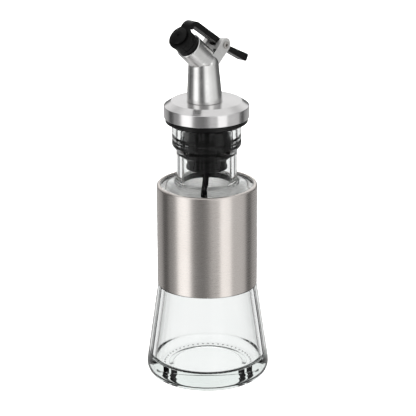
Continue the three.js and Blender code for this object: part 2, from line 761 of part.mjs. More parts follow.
// Breather pipe: up the vent's line, through the spider and the stud, round into the outlet.
function breatherPipe() {
  const outletPoint = (along) => {
    return new THREE.Vector3(PIPE_ACROSS, 0, along).applyMatrix4(outletFrame);
  };
  const tilt = degrees(OUTLET_TILT);
  const bendAlong = (PIPE_ACROSS * Math.cos(tilt) - ELBOW_REACH - PIPE_OFFSET) / Math.sin(tilt);
  const pipeEnd = OUTLET_LENGTH - BUSH_SPIGOT - PIPE_SHORT;
  const corner = outletPoint(bendAlong);
  const start = ventPoint(0);
  const aligned = new THREE.Vector3(0, 0, stemBottom + SPOKE_HEIGHT + FIT);
  const shifted = new THREE.Vector3(PIPE_OFFSET, 0, chamberTop);
  const rise = (shifted.z - aligned.z) / 2;
  const top = corner.clone().setZ(corner.z - PIPE_BEND);
  const out = outletPoint(bendAlong + PIPE_BEND);
  const path = new THREE.CurvePath();
  path.add(new THREE.LineCurve3(ventPoint(PIPE_TAIL), start));
  path.add(new THREE.QuadraticBezierCurve3(start, new THREE.Vector3(0, 0, stemBottom), aligned));
  path.add(new THREE.CubicBezierCurve3(
    aligned,
    aligned.clone().setZ(aligned.z + rise),
    shifted.clone().setZ(shifted.z - rise),
    shifted,
  ));
  path.add(new THREE.LineCurve3(shifted, top));
  path.add(new THREE.QuadraticBezierCurve3(top, corner, out));
  path.add(new THREE.LineCurve3(out, outletPoint(pipeEnd)));
  return solid(swept(path, PIPE_RADIUS, PIPE_RADIUS - PIPE_WALL, 24, 8));
}

// Assembly.
const assembly = new THREE.Group();
assembly.name = 'oil_and_vinegar_bottle';

const bottle = new THREE.Group();
piece(bottle, 'glass_bottle', glassBottle(), 0xe6efec, 0.05, 0);
piece(bottle, 'steel_sleeve', steelSleeve(), 0xb9b4ac, 0.35, 1);
assembly.add(bottle);

const pourer = new THREE.Group();
piece(pourer, 'flange_gasket', flangeGasket(), 0x161616, 0.6, 0);
piece(pourer, 'ribbed_seal', ribbedSeal(), 0x1b1b1b, 0.65, 0);
piece(pourer, 'stopper_core', stopperCore(), 0x121212, 0.45, 0);
piece(pourer, 'flange_cap', flangeCap(), 0xbcbab5, 0.3, 1);
piece(pourer, 'spout_o_ring', spoutORing(), 0x1a1a1a, 0.7, 0);
piece(pourer, 'spout_body', spoutBody(), 0xc6c5c3, 0.18, 1);
piece(pourer, 'vent_tube', ventTube(), 0x151515, 0.5, 0);
piece(pourer, 'breather_pipe', breatherPipe(), 0xb5b5b5, 0.3, 1);
assembly.add(pourer);

const outlet = new THREE.Group();
outlet.applyMatrix4(outletFrame);
piece(outlet, 'spout_bush', spoutBush(), 0x141414, 0.4, 0);
piece(outlet, 'hinge_pin', hingePin(), 0x9c9890, 0.3, 1);
piece(outlet, 'torsion_spring', torsionSpring(), 0xa6a6a6, 0.3, 1);
piece(outlet, 'lever', lever(), 0x1a1a1b, 0.4, 0);
piece(outlet, 'seal_pad', sealPad(), 0x171717, 0.55, 0);
pourer.add(outlet);

export default assembly;
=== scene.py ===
"""Looks of the oil and vinegar bottle: camera, studio, materials and finely made pieces."""

import math

import bmesh
import bpy
from mathutils import Matrix, Vector


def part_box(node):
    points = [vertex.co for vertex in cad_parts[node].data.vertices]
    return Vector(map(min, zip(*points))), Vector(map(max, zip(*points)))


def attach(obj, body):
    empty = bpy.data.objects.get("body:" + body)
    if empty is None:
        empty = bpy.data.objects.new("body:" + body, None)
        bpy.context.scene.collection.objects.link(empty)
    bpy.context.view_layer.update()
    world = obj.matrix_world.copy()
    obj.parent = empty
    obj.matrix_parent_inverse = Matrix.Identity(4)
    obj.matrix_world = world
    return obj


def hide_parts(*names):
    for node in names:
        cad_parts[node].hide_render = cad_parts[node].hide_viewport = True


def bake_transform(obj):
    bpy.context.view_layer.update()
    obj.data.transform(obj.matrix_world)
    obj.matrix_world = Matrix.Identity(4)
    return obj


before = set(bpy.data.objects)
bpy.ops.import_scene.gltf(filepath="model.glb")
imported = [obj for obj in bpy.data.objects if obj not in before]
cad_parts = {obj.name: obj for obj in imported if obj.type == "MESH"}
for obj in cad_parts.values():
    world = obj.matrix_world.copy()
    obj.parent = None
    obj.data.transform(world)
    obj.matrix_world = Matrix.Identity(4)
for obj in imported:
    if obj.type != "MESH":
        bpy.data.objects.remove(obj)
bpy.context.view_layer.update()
scene = bpy.context.scene
radians = math.radians
MM = 0.001

# Camera.
CAMERA_AZIMUTH = -46.5
CAMERA_ELEVATION = 18.69
CAMERA_DISTANCE = 1.2
CAMERA_TARGET = Vector((0, 0, 0.1019))
CAMERA_ROLL = -0.28
CAMERA_SHIFT = 0.0024
FIELD_OF_VIEW = 11.42


def towards(azimuth, elevation=0):
    """Direction from the object to a place round it, in degrees from the front and from level."""
    around = radians(azimuth)
    above = radians(elevation)
    return Vector((
        math.sin(around) * math.cos(above),
        -math.cos(around) * math.cos(above),
        math.sin(above),
    ))


def make_camera():
    data = bpy.data.cameras.new("camera")
    data.angle = radians(FIELD_OF_VIEW)
    data.shift_x = CAMERA_SHIFT
    camera = bpy.data.objects.new("camera", data)
    scene.collection.objects.link(camera)
    back = towards(CAMERA_AZIMUTH, CAMERA_ELEVATION)
    camera.location = CAMERA_TARGET + back * CAMERA_DISTANCE
    aim = back.to_track_quat("Z", "Y").to_matrix()
    camera.rotation_euler = (aim @ Matrix.Rotation(radians(CAMERA_ROLL), 3, "Z")).to_euler()
    scene.camera = camera


make_camera()


def corners_of(node):
    """Lowest and highest corner of a CAD node, in millimetres."""
    low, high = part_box(node)
    return Vector(low) / MM, Vector(high) / MM


# Sizes taken from the CAD, in millimetres.
sleeve_low, sleeve_high = corners_of("steel_sleeve")
_, glass_high = corners_of("glass_bottle")
gasket_low, gasket_high = corners_of("flange_gasket")
seal_low, _ = corners_of("ribbed_seal")
core_low, _ = corners_of("stopper_core")
cap_low, cap_high = corners_of("flange_cap")
spout_low, _ = corners_of("spout_body")

# Clearances, in millimetres like all sizes below.
FIT = 0.3
SLEEVE_FIT = 0.4
EAR_FIT = 0.6
COLLAR_GAP = 1
COIL_CLEARANCE = 0.5
SPRING_FIT = 0.45

# Fineness of round shapes, as sides round an axis and as steps in a fillet.
WIDE_ROUND = 160
RIM_ROUND = 128
ROUND = 96
BORE_ROUND = 64
THIN_ROUND = 48
DENT_ROUND = 16
FINE_STEPS = 10
STEPS = 8
FIN_STEPS = 5
EAR_STEPS = 20
BALL_STEPS = 32
BEND_STEPS = 24
ARC_STEPS = 64
COIL_STEPS = 48
BEVEL_STEPS = 3
WIRE_ROUNDING = 4

# Distances below which two points are one.
TINY = 1e-6
WELD = 0.001

# Glass bottle.
FLARE_RADIUS = 36.95
FLARE_HEIGHT = 56.9
FOOT_FILLET = 8
PUNT_RADIUS = 23
PUNT_DEPTH = 1.2
PUNT_BEVEL = 3
PUNT_FILLET = 4
PUNT_RIM_FILLET = 1
STIPPLES = 50
STIPPLE_RING = 25.4
STIPPLE_RADIUS = 0.85
STIPPLE_DEPTH = 1
GLASS_WALL = 3
FLOOR_THICKNESS = 10.5
FLOOR_FILLET = 3.6
FLOOR_WALL = 4
INNER_WAIST_FILLET = 12
LEDGE_FILLET = 0.4
SHOULDER_RISE = 2.7
SHOULDER_FILLET = 4
NECK_BORE = 14.4
NECK_WALL = 3.1
NECK_FILLET = 2.5
BEAD_REACH = 2.4
BEAD_TAPER = 3.2
BEAD_FILLET = 1.5
LOWER_BEAD_HEIGHT = 3.3
GROOVE_DROP = 9.7
GROOVE_DEPTH = 0.7
GROOVE_HALF = 1
GROOVE_FILLET = 0.8
GROOVE_FLOOR_FILLET = 0.2
LIP_FILLET = 2
MOUTH_FILLET = 1.2

# Sleeve and cap.
SLEEVE_SHEET = 0.6
SLEEVE_LIP = 2
SLEEVE_FILLET = 1.2
CAP_BEVEL = 4.15
CAP_SKIRT = 5.8
CAP_SHEET = 0.8
CAP_FILLET = 0.5
CAP_RAISE = 0.65
SKIRT_RAISE = 1
FOOT_RISE = 0.4

# Stopper.
GASKET_FILLET = 0.6
GASKET_EDGE = 0.2
GASKET_SEAM = 0.22
FINS = 3
FIRST_FIN = 8.9
FIN_PITCH = 4.45
FIN_REACH = 1.4
FIN_EDGE = 1.6
FIN_SLOPE = 0.9
FIN_TOP_SLOPE = 0.3
FIN_FILLET = 0.25
FIN_PRESS = 0.08
SEAL_WALL = 1.1
SEAL_FOOT_EDGE = 0.4
SEAL_FILLET = 0.15
COLLAR_RISE = 1.35
COLLAR_FILLET = 0.5
STEM_WALL = 2.9
STEM_LIP = 0.5
STEM_LIP_HEIGHT = 1.9
STEM_LIP_FILLET = 0.4
STEM_LIP_ROOT = 0.2
CHAMBER_FILLET = 0.4
CHAMBER_DEPTH = 15.5
CHAMBER_SLOPE = 1.5
SPOKES = 3
SPOKE_WIDTH = 1.4
SPOKE_HEIGHT = 3.5
BOSS_WALL = 0.9
O_RING_SECTION = 0.85

# Spout and bush.
STUD_RADIUS = 6
STUD_WALL = 1
SPOUT_FOOT_RADIUS = 10.2
SPOUT_FOOT_REACH = 1.5
SPOUT_FOOT_PLATE = 1.6
SPOUT_FOOT_FILLET = 0.3
ELBOW_RADIUS = 8.5
ELBOW_REACH = 2.4
ELBOW_RISE = 23.9
BEND_OFFSET = 3.3
BEND_OVERLAP = 0.35
OUTLET_TILT = 48
OUTLET_RADIUS = 7.4
OUTLET_LENGTH = 16.4
OUTLET_ROOT = 7.6
OUTLET_TAPER = 5.5
OUTLET_SWEEP = 8
OUTLET_FILLET = 0.4
SPOUT_WALL = 1.2
EAR_THICKNESS = 3
EAR_WALL = 2.65
EAR_LEAN = 7
EAR_FOOT = 0.5
EAR_BEVEL = 0.15
EAR_ROUNDING = 0.999
BUSH_STEP = 0.9
BUSH_HEAD = 2.6
BUSH_WALL = 0.9
BUSH_SPIGOT = 7
BUSH_FILLET = 0.6
BUSH_SEAT_FILLET = 0.2

# Hinge pin and spring.
PIN_RADIUS = 1
PIN_HEAD_REACH = 1.1
PIN_HEAD = 0.7
PIN_HEAD_FILLET = 0.3
RECESS_RADIUS = 0.8
RECESS_DEPTH = 1.8
RECESS_FILLET = 0.15
PIN_SEAT_FILLET = 0.1
WIRE_RADIUS = 0.32
COIL_TURNS = 1
COIL_SPAN = 2.2
REAR_LEG = 11
FRONT_LEG = 3

# Lever and pad.
PIVOT_RISE = 6.1
PIVOT_BACK = 3
HUB_WALL = 0.5
LEVER_WIDTH = 6.46
ARM_HEIGHT = 3.3
ARM_REAR_RISE = 2.5
ARM_FRONT_RISE = 5.2
BEND_RADIUS = 6
BEND_THICKNESS = 3.4
BEND_INNER_FILLET = 1.2
RING_RADIUS = 7.1
RING_THICKNESS = 2
RING_FILLET = 0.5
TAIL_LENGTH = 24.7
TAIL_RISE = 5.6
TAIL_SLOPE = 15
TAIL_THICKNESS = 4.2
TAIL_ROOT = 2.6
TAIL_SWEEP = 14
TAIL_ROOT_FILLET = 3
TAIL_FILLET = 1
RIB_WIDTH = 0.9
RIB_DEPTH = 0.35
RIB_PLACE = 1.35
LEVER_BEVEL = 0.3
HUB_INSET = 0.05
PAD_RADIUS = 6.6
PAD_THICKNESS = 3.7
PAD_FILLET = 0.5
PAD_STEM = 2
BUTTON_RADIUS = 5.2
BUTTON_HEIGHT = 1.2
BUTTON_DOME = 0.5
BUTTON_FILLET = 0.6
DOME_FILLET = 2
DIMPLE_RADIUS = 0.9
BUTTON_EDGE = 0.2

# Vent tube.
PIPE_RADIUS = 1.1
VENT_WALL = 0.4
VENT_LENGTH = 60
VENT_LEAN = 8
VENT_EDGE = 0.12

# What follows from these sizes.
lip_top = glass_high.z
groove_height = lip_top - GROOVE_DROP
stem_bottom = core_low.z
chamber_top = stem_bottom + CHAMBER_DEPTH
cap_inside = cap_high.z - CAP_SHEET
spout_foot = cap_high.z + FIT
stud_bottom = spout_low.z
elbow_height = spout_foot + ELBOW_RISE
sleeve_radius = sleeve_high.x
body_radius = sleeve_radius - SLEEVE_SHEET - SLEEVE_FIT
ledge_radius = sleeve_radius - FIT
fin_radius = NECK_BORE + FIN_PRESS
seal_root = NECK_BORE - FIT - FIN_REACH
seal_inside = seal_root - SEAL_WALL
stem_radius = seal_inside - FIT
chamber_radius = stem_radius - STEM_WALL
cap_radius = cap_high.x
cap_top_radius = cap_radius - CAP_BEVEL
socket_radius = STUD_RADIUS + FIT
spout_bore = OUTLET_RADIUS - SPOUT_WALL
pin_hole_radius = PIN_RADIUS + FIT
ear_radius = pin_hole_radius + EAR_WALL
hub_radius = pin_hole_radius + HUB_WALL
coil_radius = PIN_RADIUS + WIRE_RADIUS + COIL_CLEARANCE
vent_bore = PIPE_RADIUS + FIT
vent_radius = vent_bore + VENT_WALL
pivot_across = OUTLET_RADIUS + PIVOT_RISE
pivot_along = -PIVOT_BACK
pad_back = OUTLET_LENGTH + BUSH_HEAD + 2 * FIT
pad_front = pad_back + PAD_THICKNESS
ring_back = pad_front + FIT
ring_front = ring_back + RING_THICKNESS
ear_inside = LEVER_WIDTH / 2 + EAR_FIT
slot_radius = coil_radius + WIRE_RADIUS + SPRING_FIT
coil_near = WIRE_RADIUS + SPRING_FIT - ear_inside
coil_far = coil_near + COIL_SPAN
slot_end = coil_far + WIRE_RADIUS + FIT

# The outlet's own frame: local +Z runs out of the mouth, local +X is up and back.
outlet_frame = (
    Matrix.Translation((-ELBOW_REACH, 0, elbow_height))
    @ Matrix.Rotation(-radians(OUTLET_TILT), 4, "Y")
)


def between(value, start, end, first, last):
    return first + (value - start) / (end - start) * (last - first)


# Shapes. All are made in millimetres and scaled once, when they become pieces.
def rounded(corners, steps):
    """Corners are (across, up) or (across, up, fillet); every fillet becomes an arc."""
    points = []
    count = len(corners)
    for i, (u, v, *rest) in enumerate(corners):
        at = Vector((u, v))
        fillet = rest[0] if rest else 0
        if fillet == 0:
            points.append(at)
            continue
        before = (Vector(corners[i - 1][:2]) - at).normalized()
        after = (Vector(corners[(i + 1) % count][:2]) - at).normalized()
        half = before.angle(after) / 2
        centre = at + (before + after).normalized() * (fillet / math.sin(half))
        start = at + before * (fillet / math.tan(half)) - centre
        turn = (math.pi - 2 * half) * math.copysign(1, after.cross(before))
        for step in range(steps + 1):
            points.append(Matrix.Rotation(turn * step / steps, 2) @ start + centre)
    return points


def as_object(mesh, name):
    bmesh.ops.recalc_face_normals(mesh, faces=mesh.faces)
    data = bpy.data.meshes.new(name)
    mesh.to_mesh(data)
    mesh.free()
    made = bpy.data.objects.new(name, data)
    scene.collection.objects.link(made)
    return made


def skin(mesh, rings):
    """Faces between neighbouring rings; a ring on the axis is one point over and over."""
    for lower, upper in zip(rings, rings[1:]):
        for k in range(len(lower)):
            following = (k + 1) % len(lower)
            around = [lower[k], lower[following], upper[following], upper[k]]
            face = list(dict.fromkeys(around))
            if len(face) > 2:
                mesh.faces.new(face)


def turned(corners, segments=ROUND, steps=STEPS, place=None):
    """A turned shape about +Z. The outline runs from axis to axis, or closes as a ring."""
    mesh = bmesh.new()
    points = rounded(corners, steps)
    rings = []
    for point in points:
        if point.x < TINY:
            rings.append([mesh.verts.new((0, 0, point.y))] * segments)
            continue
        ring = []
        for k in range(segments):
            angle = 2 * math.pi * k / segments
            ring.append(mesh.verts.new((
                point.x * math.cos(angle), point.x * math.sin(angle), point.y,
            )))
        rings.append(ring)
    if points[0].x > TINY:
        rings.append(rings[0])
    skin(mesh, rings)
    if place:
        mesh.transform(place)
    return as_object(mesh, "turned")


def plate(corners, thickness, steps=STEPS, bevel=0, middle=0, place=None):
    """A plate in the XZ plane, its thickness centred on Y, its rims rounded by the bevel."""
    mesh = bmesh.new()
    points = rounded(corners, steps)
    sides = []
    for y in (middle - thickness / 2, middle + thickness / 2):
        sides.append([mesh.verts.new((p.x, y, p.y)) for p in points])
    near, far = sides
    mesh.faces.new(near)
    mesh.faces.new(list(reversed(far)))
    for k in range(len(points)):
        following = (k + 1) % len(points)
        mesh.faces.new((near[following], near[k], far[k], far[following]))
    bmesh.ops.recalc_face_normals(mesh, faces=mesh.faces)
    if bevel:
        rims = [e for e in mesh.edges if abs(e.verts[0].co.y - e.verts[1].co.y) < TINY]
        bmesh.ops.bevel(
            mesh, geom=rims, offset=bevel, segments=BEVEL_STEPS, profile=0.5, affect="EDGES",
        )
    if place:
        mesh.transform(place)
    return as_object(mesh, "plate")


def post(radius, start, end, place=None):
    """A cylinder on the Z axis from one height to another."""
    outline = [(0, start), (radius, start), (radius, end), (0, end)]
    return turned(outline, BORE_ROUND, place=place)


# Turns a shape made about +Z so that its axis lies along Y through the lever's pivot.
pivot_place = (
    Matrix.Translation((pivot_across, 0, pivot_along)) @ Matrix.Rotation(radians(90), 4, "X")
)


def pivot_bar(radius, length, middle=0):
    return post(radius, -middle - length / 2, -middle + length / 2, pivot_place)


def placed(made, place):
    made.data.transform(place)
    return made


def evaluated(made):
    """The mesh that an object shows, with its modifiers or its curve's thickness."""
    graph = bpy.context.evaluated_depsgraph_get()
    graph.update()
    return bpy.data.meshes.new_from_object(made.evaluated_get(graph))


def apply_modifiers(made):
    made.data = evaluated(made)
    made.modifiers.clear()


def combined(base, operation, others):
    for other in others:
        step = base.modifiers.new("step", "BOOLEAN")
        step.operation = operation
        step.solver = "MANIFOLD"
        step.object = other
    apply_modifiers(base)
    for other in others:
        bpy.data.objects.remove(other)
    return base


def joined(base, *others):
    return combined(base, "UNION", others)


def cut(base, *others):
    return combined(base, "DIFFERENCE", others)


def dress(made, surface):
    made.data.materials.clear()
    made.data.materials.append(surface.material)


# Edges sharper than these degrees stay sharp.
CREASE = 32
GLASS_CREASE = 40
HIDDEN_CREASE = 50


def piece(made, node, body, surface, crease=CREASE):
    """Scales a shape to metres and puts it in the place of its CAD node."""
    made.name = node + "_fine"
    made.data.transform(Matrix.Scale(MM, 4))
    made.data.shade_smooth()
    made.data.set_sharp_from_angle(angle=radians(crease))
    evened = made.modifiers.new("evened", "WEIGHTED_NORMAL")
    evened.keep_sharp = True
    apply_modifiers(made)
    dress(made, surface)
    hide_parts(node)
    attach(made, body)
    return made


def stipples():
    """The small dents that ring the underside of the glass."""
    mesh = bmesh.new()
    for k in range(STIPPLES):
        around = Matrix.Rotation(2 * math.pi * k / STIPPLES, 4, "Z")
        spot = Matrix.Translation((STIPPLE_RING, 0, 0))
        bmesh.ops.create_cone(
            mesh, cap_ends=True, segments=DENT_ROUND, radius1=STIPPLE_RADIUS,
            radius2=STIPPLE_RADIUS / 2, depth=2 * STIPPLE_DEPTH, matrix=around @ spot,
        )
    return as_object(mesh, "stipples")


def glass_bottle():
    shoulder_edge = sleeve_high.z - SLEEVE_SHEET - FIT
    shoulder_top = shoulder_edge + SHOULDER_RISE
    neck_radius = NECK_BORE + NECK_WALL
    bead_radius = neck_radius + BEAD_REACH
    bead_foot = groove_height - LOWER_BEAD_HEIGHT
    inner_body = body_radius - GLASS_WALL
    flare_at_floor = between(FLOOR_THICKNESS, 0, FLARE_HEIGHT, FLARE_RADIUS, ledge_radius)
    glass = turned([
        (0, PUNT_DEPTH),
        (PUNT_RADIUS - PUNT_BEVEL, PUNT_DEPTH, PUNT_FILLET),
        (PUNT_RADIUS, 0, PUNT_RIM_FILLET),
        (FLARE_RADIUS, 0, FOOT_FILLET),
        (ledge_radius, FLARE_HEIGHT, LEDGE_FILLET),
        (body_radius, FLARE_HEIGHT),
        (body_radius, shoulder_edge, SHOULDER_FILLET),
        (neck_radius, shoulder_top, NECK_FILLET),
        (neck_radius, bead_foot - BEAD_TAPER, NECK_FILLET),
        (bead_radius, bead_foot, BEAD_FILLET),
        (bead_radius, groove_height - GROOVE_HALF, GROOVE_FILLET),
        (bead_radius - GROOVE_DEPTH, groove_height, GROOVE_FLOOR_FILLET),
        (bead_radius, groove_height + GROOVE_HALF, GROOVE_FILLET),
        (bead_radius, lip_top, LIP_FILLET),
        (NECK_BORE, lip_top, MOUTH_FILLET),
        (NECK_BORE, shoulder_top - GLASS_WALL, NECK_FILLET),
        (inner_body, shoulder_edge - GLASS_WALL, SHOULDER_FILLET),
        (inner_body, FLARE_HEIGHT, INNER_WAIST_FILLET),
        (flare_at_floor - FLOOR_WALL, FLOOR_THICKNESS, FLOOR_FILLET),
        (0, FLOOR_THICKNESS),
    ], WIDE_ROUND, FINE_STEPS)
    return cut(glass, stipples())


def steel_sleeve():
    inside = sleeve_radius - SLEEVE_SHEET
    mouth = sleeve_radius - SLEEVE_LIP
    edge = SLEEVE_SHEET / 3
    return turned([
        (sleeve_radius, sleeve_low.z, edge),
        (sleeve_radius, sleeve_high.z, SLEEVE_FILLET),
        (mouth, sleeve_high.z, edge),
        (mouth, sleeve_high.z - SLEEVE_SHEET, edge),
        (inside, sleeve_high.z - SLEEVE_SHEET, SLEEVE_FILLET / 2),
        (inside, sleeve_low.z, edge),
    ], WIDE_ROUND)


def flange_gasket():
    outside = gasket_high.x
    low, high = gasket_low.z, gasket_high.z
    middle = (low + high) / 2
    return turned([
        (seal_inside, low, GASKET_EDGE),
        (outside, low, GASKET_FILLET),
        (outside, middle - GASKET_SEAM, GASKET_SEAM / 2),
        (outside - GASKET_SEAM, middle, GASKET_SEAM / 3),
        (outside, middle + GASKET_SEAM, GASKET_SEAM / 2),
        (outside, high, GASKET_FILLET),
        (seal_inside, high, GASKET_EDGE),
    ], RIM_ROUND)


def ribbed_seal():
    collar_radius = NECK_BORE - COLLAR_GAP
    profile = [
        (seal_inside, seal_low.z, SEAL_FILLET),
        (seal_inside + SEAL_FOOT_EDGE, seal_low.z, SEAL_FILLET),
    ]
    for fin in reversed(range(FINS)):
        tip = lip_top - FIRST_FIN - fin * FIN_PITCH
        underside = tip - FIN_EDGE / 2
        topside = tip + FIN_EDGE / 2
        if fin < FINS - 1:
            profile.append((seal_root, underside - FIN_SLOPE, FIN_FILLET))
        profile.append((fin_radius, underside, FIN_FILLET))
        profile.append((fin_radius, topside, FIN_FILLET))
        profile.append((seal_root, topside + FIN_TOP_SLOPE, FIN_FILLET))
    collar = lip_top - FIRST_FIN + COLLAR_RISE
    profile.append((seal_root, collar, SEAL_FILLET))
    profile.append((collar_radius, collar + collar_radius - seal_root, FIN_FILLET))
    profile.append((collar_radius, lip_top, COLLAR_FILLET))
    profile.append((seal_inside, lip_top, SEAL_FILLET))
    return turned(profile, steps=FIN_STEPS)


def stopper_core():
    disc_radius = cap_radius - CAP_SHEET - FIT
    disc_top = cap_inside - FIT
    chamfer_foot = cap_low.z + CAP_SKIRT - CAP_SHEET
    lip_radius = stem_radius + STEM_LIP
    groove_radius = STUD_RADIUS + 2 * O_RING_SECTION + 3 * FIT
    groove_floor = disc_top - 2 * O_RING_SECTION
    lip_high = stem_bottom + STEM_LIP_HEIGHT
    spider_top = stem_bottom + SPOKE_HEIGHT
    core = turned([
        (socket_radius, chamber_top),
        (chamber_radius, chamber_top - CHAMBER_SLOPE),
        (chamber_radius, stem_bottom, CHAMBER_FILLET),
        (lip_radius, stem_bottom, STEM_LIP_FILLET),
        (lip_radius, lip_high, STEM_LIP_FILLET),
        (stem_radius, lip_high, STEM_LIP_ROOT),
        (stem_radius, cap_low.z),
        (disc_radius, cap_low.z),
        (disc_radius, chamfer_foot),
        (cap_top_radius - CAP_SHEET, disc_top),
        (groove_radius, disc_top),
        (groove_radius, groove_floor),
        (socket_radius, groove_floor),
    ])
    parts = [post(vent_radius + BOSS_WALL, stem_bottom, spider_top)]
    reach = chamber_radius + STEM_WALL / 2
    spoke = [(0, stem_bottom), (reach, stem_bottom), (reach, spider_top), (0, spider_top)]
    for k in range(SPOKES):
        turn = Matrix.Rotation(2 * math.pi * k / SPOKES, 4, "Z")
        parts.append(plate(spoke, SPOKE_WIDTH, place=turn))
    joined(core, *parts)
    return cut(core, post(vent_bore + FIT / 2, stem_bottom - FIT, spider_top + FIT))


def flange_cap():
    skirt_top = cap_low.z + CAP_SKIRT
    edge = CAP_SHEET / 3
    return turned([
        (cap_radius, cap_low.z, edge),
        (cap_radius, skirt_top + SKIRT_RAISE, CAP_FILLET),
        (cap_top_radius, cap_high.z + CAP_RAISE, CAP_FILLET),
        (socket_radius, cap_high.z + CAP_RAISE),
        (socket_radius, cap_inside),
        (cap_top_radius - CAP_SHEET / 2, cap_inside),
        (cap_radius - CAP_SHEET, skirt_top - CAP_SHEET / 2),
        (cap_radius - CAP_SHEET, cap_low.z, edge),
    ], WIDE_ROUND)


def leaning():
    """Leans an upright shape so that its axis runs from the spout's foot to the elbow."""
    lean = Matrix.Identity(4)
    lean[0][2] = (SPOUT_FOOT_REACH - ELBOW_REACH) / ELBOW_RISE
    return Matrix.Translation((-SPOUT_FOOT_REACH, 0, spout_foot)) @ lean


def ear_outline():
    lean = radians(EAR_LEAN)
    down = Vector((-math.cos(lean), math.sin(lean)))
    side = Vector((-down.y, down.x))
    pivot = Vector((pivot_across, pivot_along))
    length = pivot_across - EAR_FOOT

    def at(below, aside, fillet):
        return (*(pivot + down * below + side * aside), fillet)

    return [
        at(-ear_radius, -ear_radius, ear_radius * EAR_ROUNDING),
        at(-ear_radius, ear_radius, ear_radius * EAR_ROUNDING),
        at(length, ear_radius, 0),
        at(length, -ear_radius, 0),
    ]


def ball(radius):
    """Profile of a ball round the origin, from its lowest to its highest point."""
    angles = [math.pi * (k / BALL_STEPS - 0.5) for k in range(BALL_STEPS + 1)]
    middle = [(radius * math.cos(a), radius * math.sin(a)) for a in angles[1:-1]]
    return [(0, -radius), *middle, (0, radius)]


def lofted(loops):
    """A closed skin through loops with the same number of points."""
    mesh = bmesh.new()
    rings = [[mesh.verts.new(point) for point in loop] for loop in loops]
    skin(mesh, rings)
    mesh.faces.new(rings[0])
    mesh.faces.new(rings[-1])
    return as_object(mesh, "lofted")


def eased(part, first, last, first_slope, last_slope):
    """A smooth course between two values that leaves and arrives with the given slopes."""
    square, cube = part ** 2, part ** 3
    return (
        first * (2 * cube - 3 * square + 1) + first_slope * (cube - 2 * square + part)
        + last * (3 * square - 2 * cube) + last_slope * (cube - square)
    )


# The elbow swings about this line, which lies along Y inside the spout.
outlet_tilt = radians(OUTLET_TILT)
bend_drop = BEND_OFFSET * math.tan(outlet_tilt / 2)
bend_line = Vector((-ELBOW_REACH - BEND_OFFSET, 0, elbow_height - bend_drop))
spout_narrowing = (ELBOW_RADIUS - SPOUT_FOOT_RADIUS) / ELBOW_RISE


def spout_radius(rise):
    return SPOUT_FOOT_RADIUS + spout_narrowing * rise


def elbow_bend():
    """Round outer side of the elbow; on its inner side the cone and the outlet meet in a crease."""
    root = spout_radius(ELBOW_RISE - bend_drop)
    slope = spout_narrowing * root * outlet_tilt
    loops = []
    for step in range(BEND_STEPS + 1):
        part = step / BEND_STEPS
        radius = eased(part, root, OUTLET_ROOT, slope, slope)
        turn = outlet_tilt * part
        outward = Vector((math.cos(turn), 0, math.sin(turn)))
        limit = math.acos((BEND_OVERLAP - BEND_OFFSET) / radius)
        loop = []
        for k in range(ARC_STEPS + 1):
            angle = between(k, 0, ARC_STEPS, -limit, limit)
            side = Vector((0, radius * math.sin(angle), 0))
            loop.append(bend_line + outward * (BEND_OFFSET + radius * math.cos(angle)) + side)
        loops.append(loop)
    return lofted(loops)


def spout_body():
    cone_top = ELBOW_RISE - bend_drop + BEND_OVERLAP
    cone = turned([
        (0, FOOT_RISE),
        (SPOUT_FOOT_RADIUS, FOOT_RISE, SPOUT_FOOT_FILLET),
        (spout_radius(cone_top), cone_top),
        (0, cone_top),
    ], place=leaning())
    outlet_start = bend_drop - BEND_OVERLAP
    outlet = turned([
        (0, outlet_start),
        (OUTLET_ROOT - spout_narrowing * BEND_OVERLAP, outlet_start),
        (OUTLET_RADIUS, OUTLET_TAPER, OUTLET_SWEEP),
        (OUTLET_RADIUS, OUTLET_LENGTH, OUTLET_FILLET),
        (0, OUTLET_LENGTH),
    ], place=outlet_frame)
    parts = [elbow_bend(), outlet]
    parts.append(post(STUD_RADIUS, stud_bottom, spout_foot + SPOUT_FOOT_PLATE / 2))
    ear_middle = ear_inside + EAR_THICKNESS / 2
    for y in (-ear_middle, ear_middle):
        parts.append(plate(ear_outline(), EAR_THICKNESS, EAR_STEPS, EAR_BEVEL, y, outlet_frame))
    joined(cone, *parts)
    return cut(
        cone,
        post(spout_bore, SPOUT_FOOT_PLATE, ELBOW_RISE, place=leaning()),
        turned(ball(spout_bore), BORE_ROUND, place=outlet_frame),
        post(spout_bore, 0, OUTLET_LENGTH + FIT, place=outlet_frame),
        post(STUD_RADIUS - STUD_WALL, stud_bottom - FIT, spout_foot + SPOUT_FOOT_PLATE + FIT),
        placed(pivot_bar(pin_hole_radius, 4 * ear_middle), outlet_frame),
    )


def spout_bush():
    head_back = OUTLET_LENGTH + FIT
    head_front = head_back + BUSH_HEAD
    head_radius = OUTLET_RADIUS - BUSH_STEP
    spigot_radius = spout_bore - FIT
    spigot_back = OUTLET_LENGTH - BUSH_SPIGOT
    bore = spigot_radius - BUSH_WALL
    return turned([
        (bore, spigot_back),
        (spigot_radius, spigot_back, BUSH_FILLET),
        (spigot_radius, head_back),
        (head_radius, head_back, BUSH_SEAT_FILLET),
        (head_radius, head_front, BUSH_FILLET),
        (bore, head_front, BUSH_FILLET / 2),
    ], place=outlet_frame)


# Edges of the lever's arm and tail, as heights across the outlet.
tail_end = pivot_along - TAIL_LENGTH
tail_slope = radians(TAIL_SLOPE)
tail_half = TAIL_THICKNESS / 2 / math.cos(tail_slope)
tail_root_drop = (TAIL_ROOT - TAIL_THICKNESS / 2) / math.cos(tail_slope)


def arm_top(along):
    rear = pivot_across + ARM_REAR_RISE
    return between(along, pivot_along, ring_front, rear, OUTLET_RADIUS + ARM_FRONT_RISE)


def arm_bottom(along):
    return arm_top(along) - ARM_HEIGHT


def tail_middle(along):
    return pivot_across + TAIL_RISE + (tail_end - along) * math.tan(tail_slope)


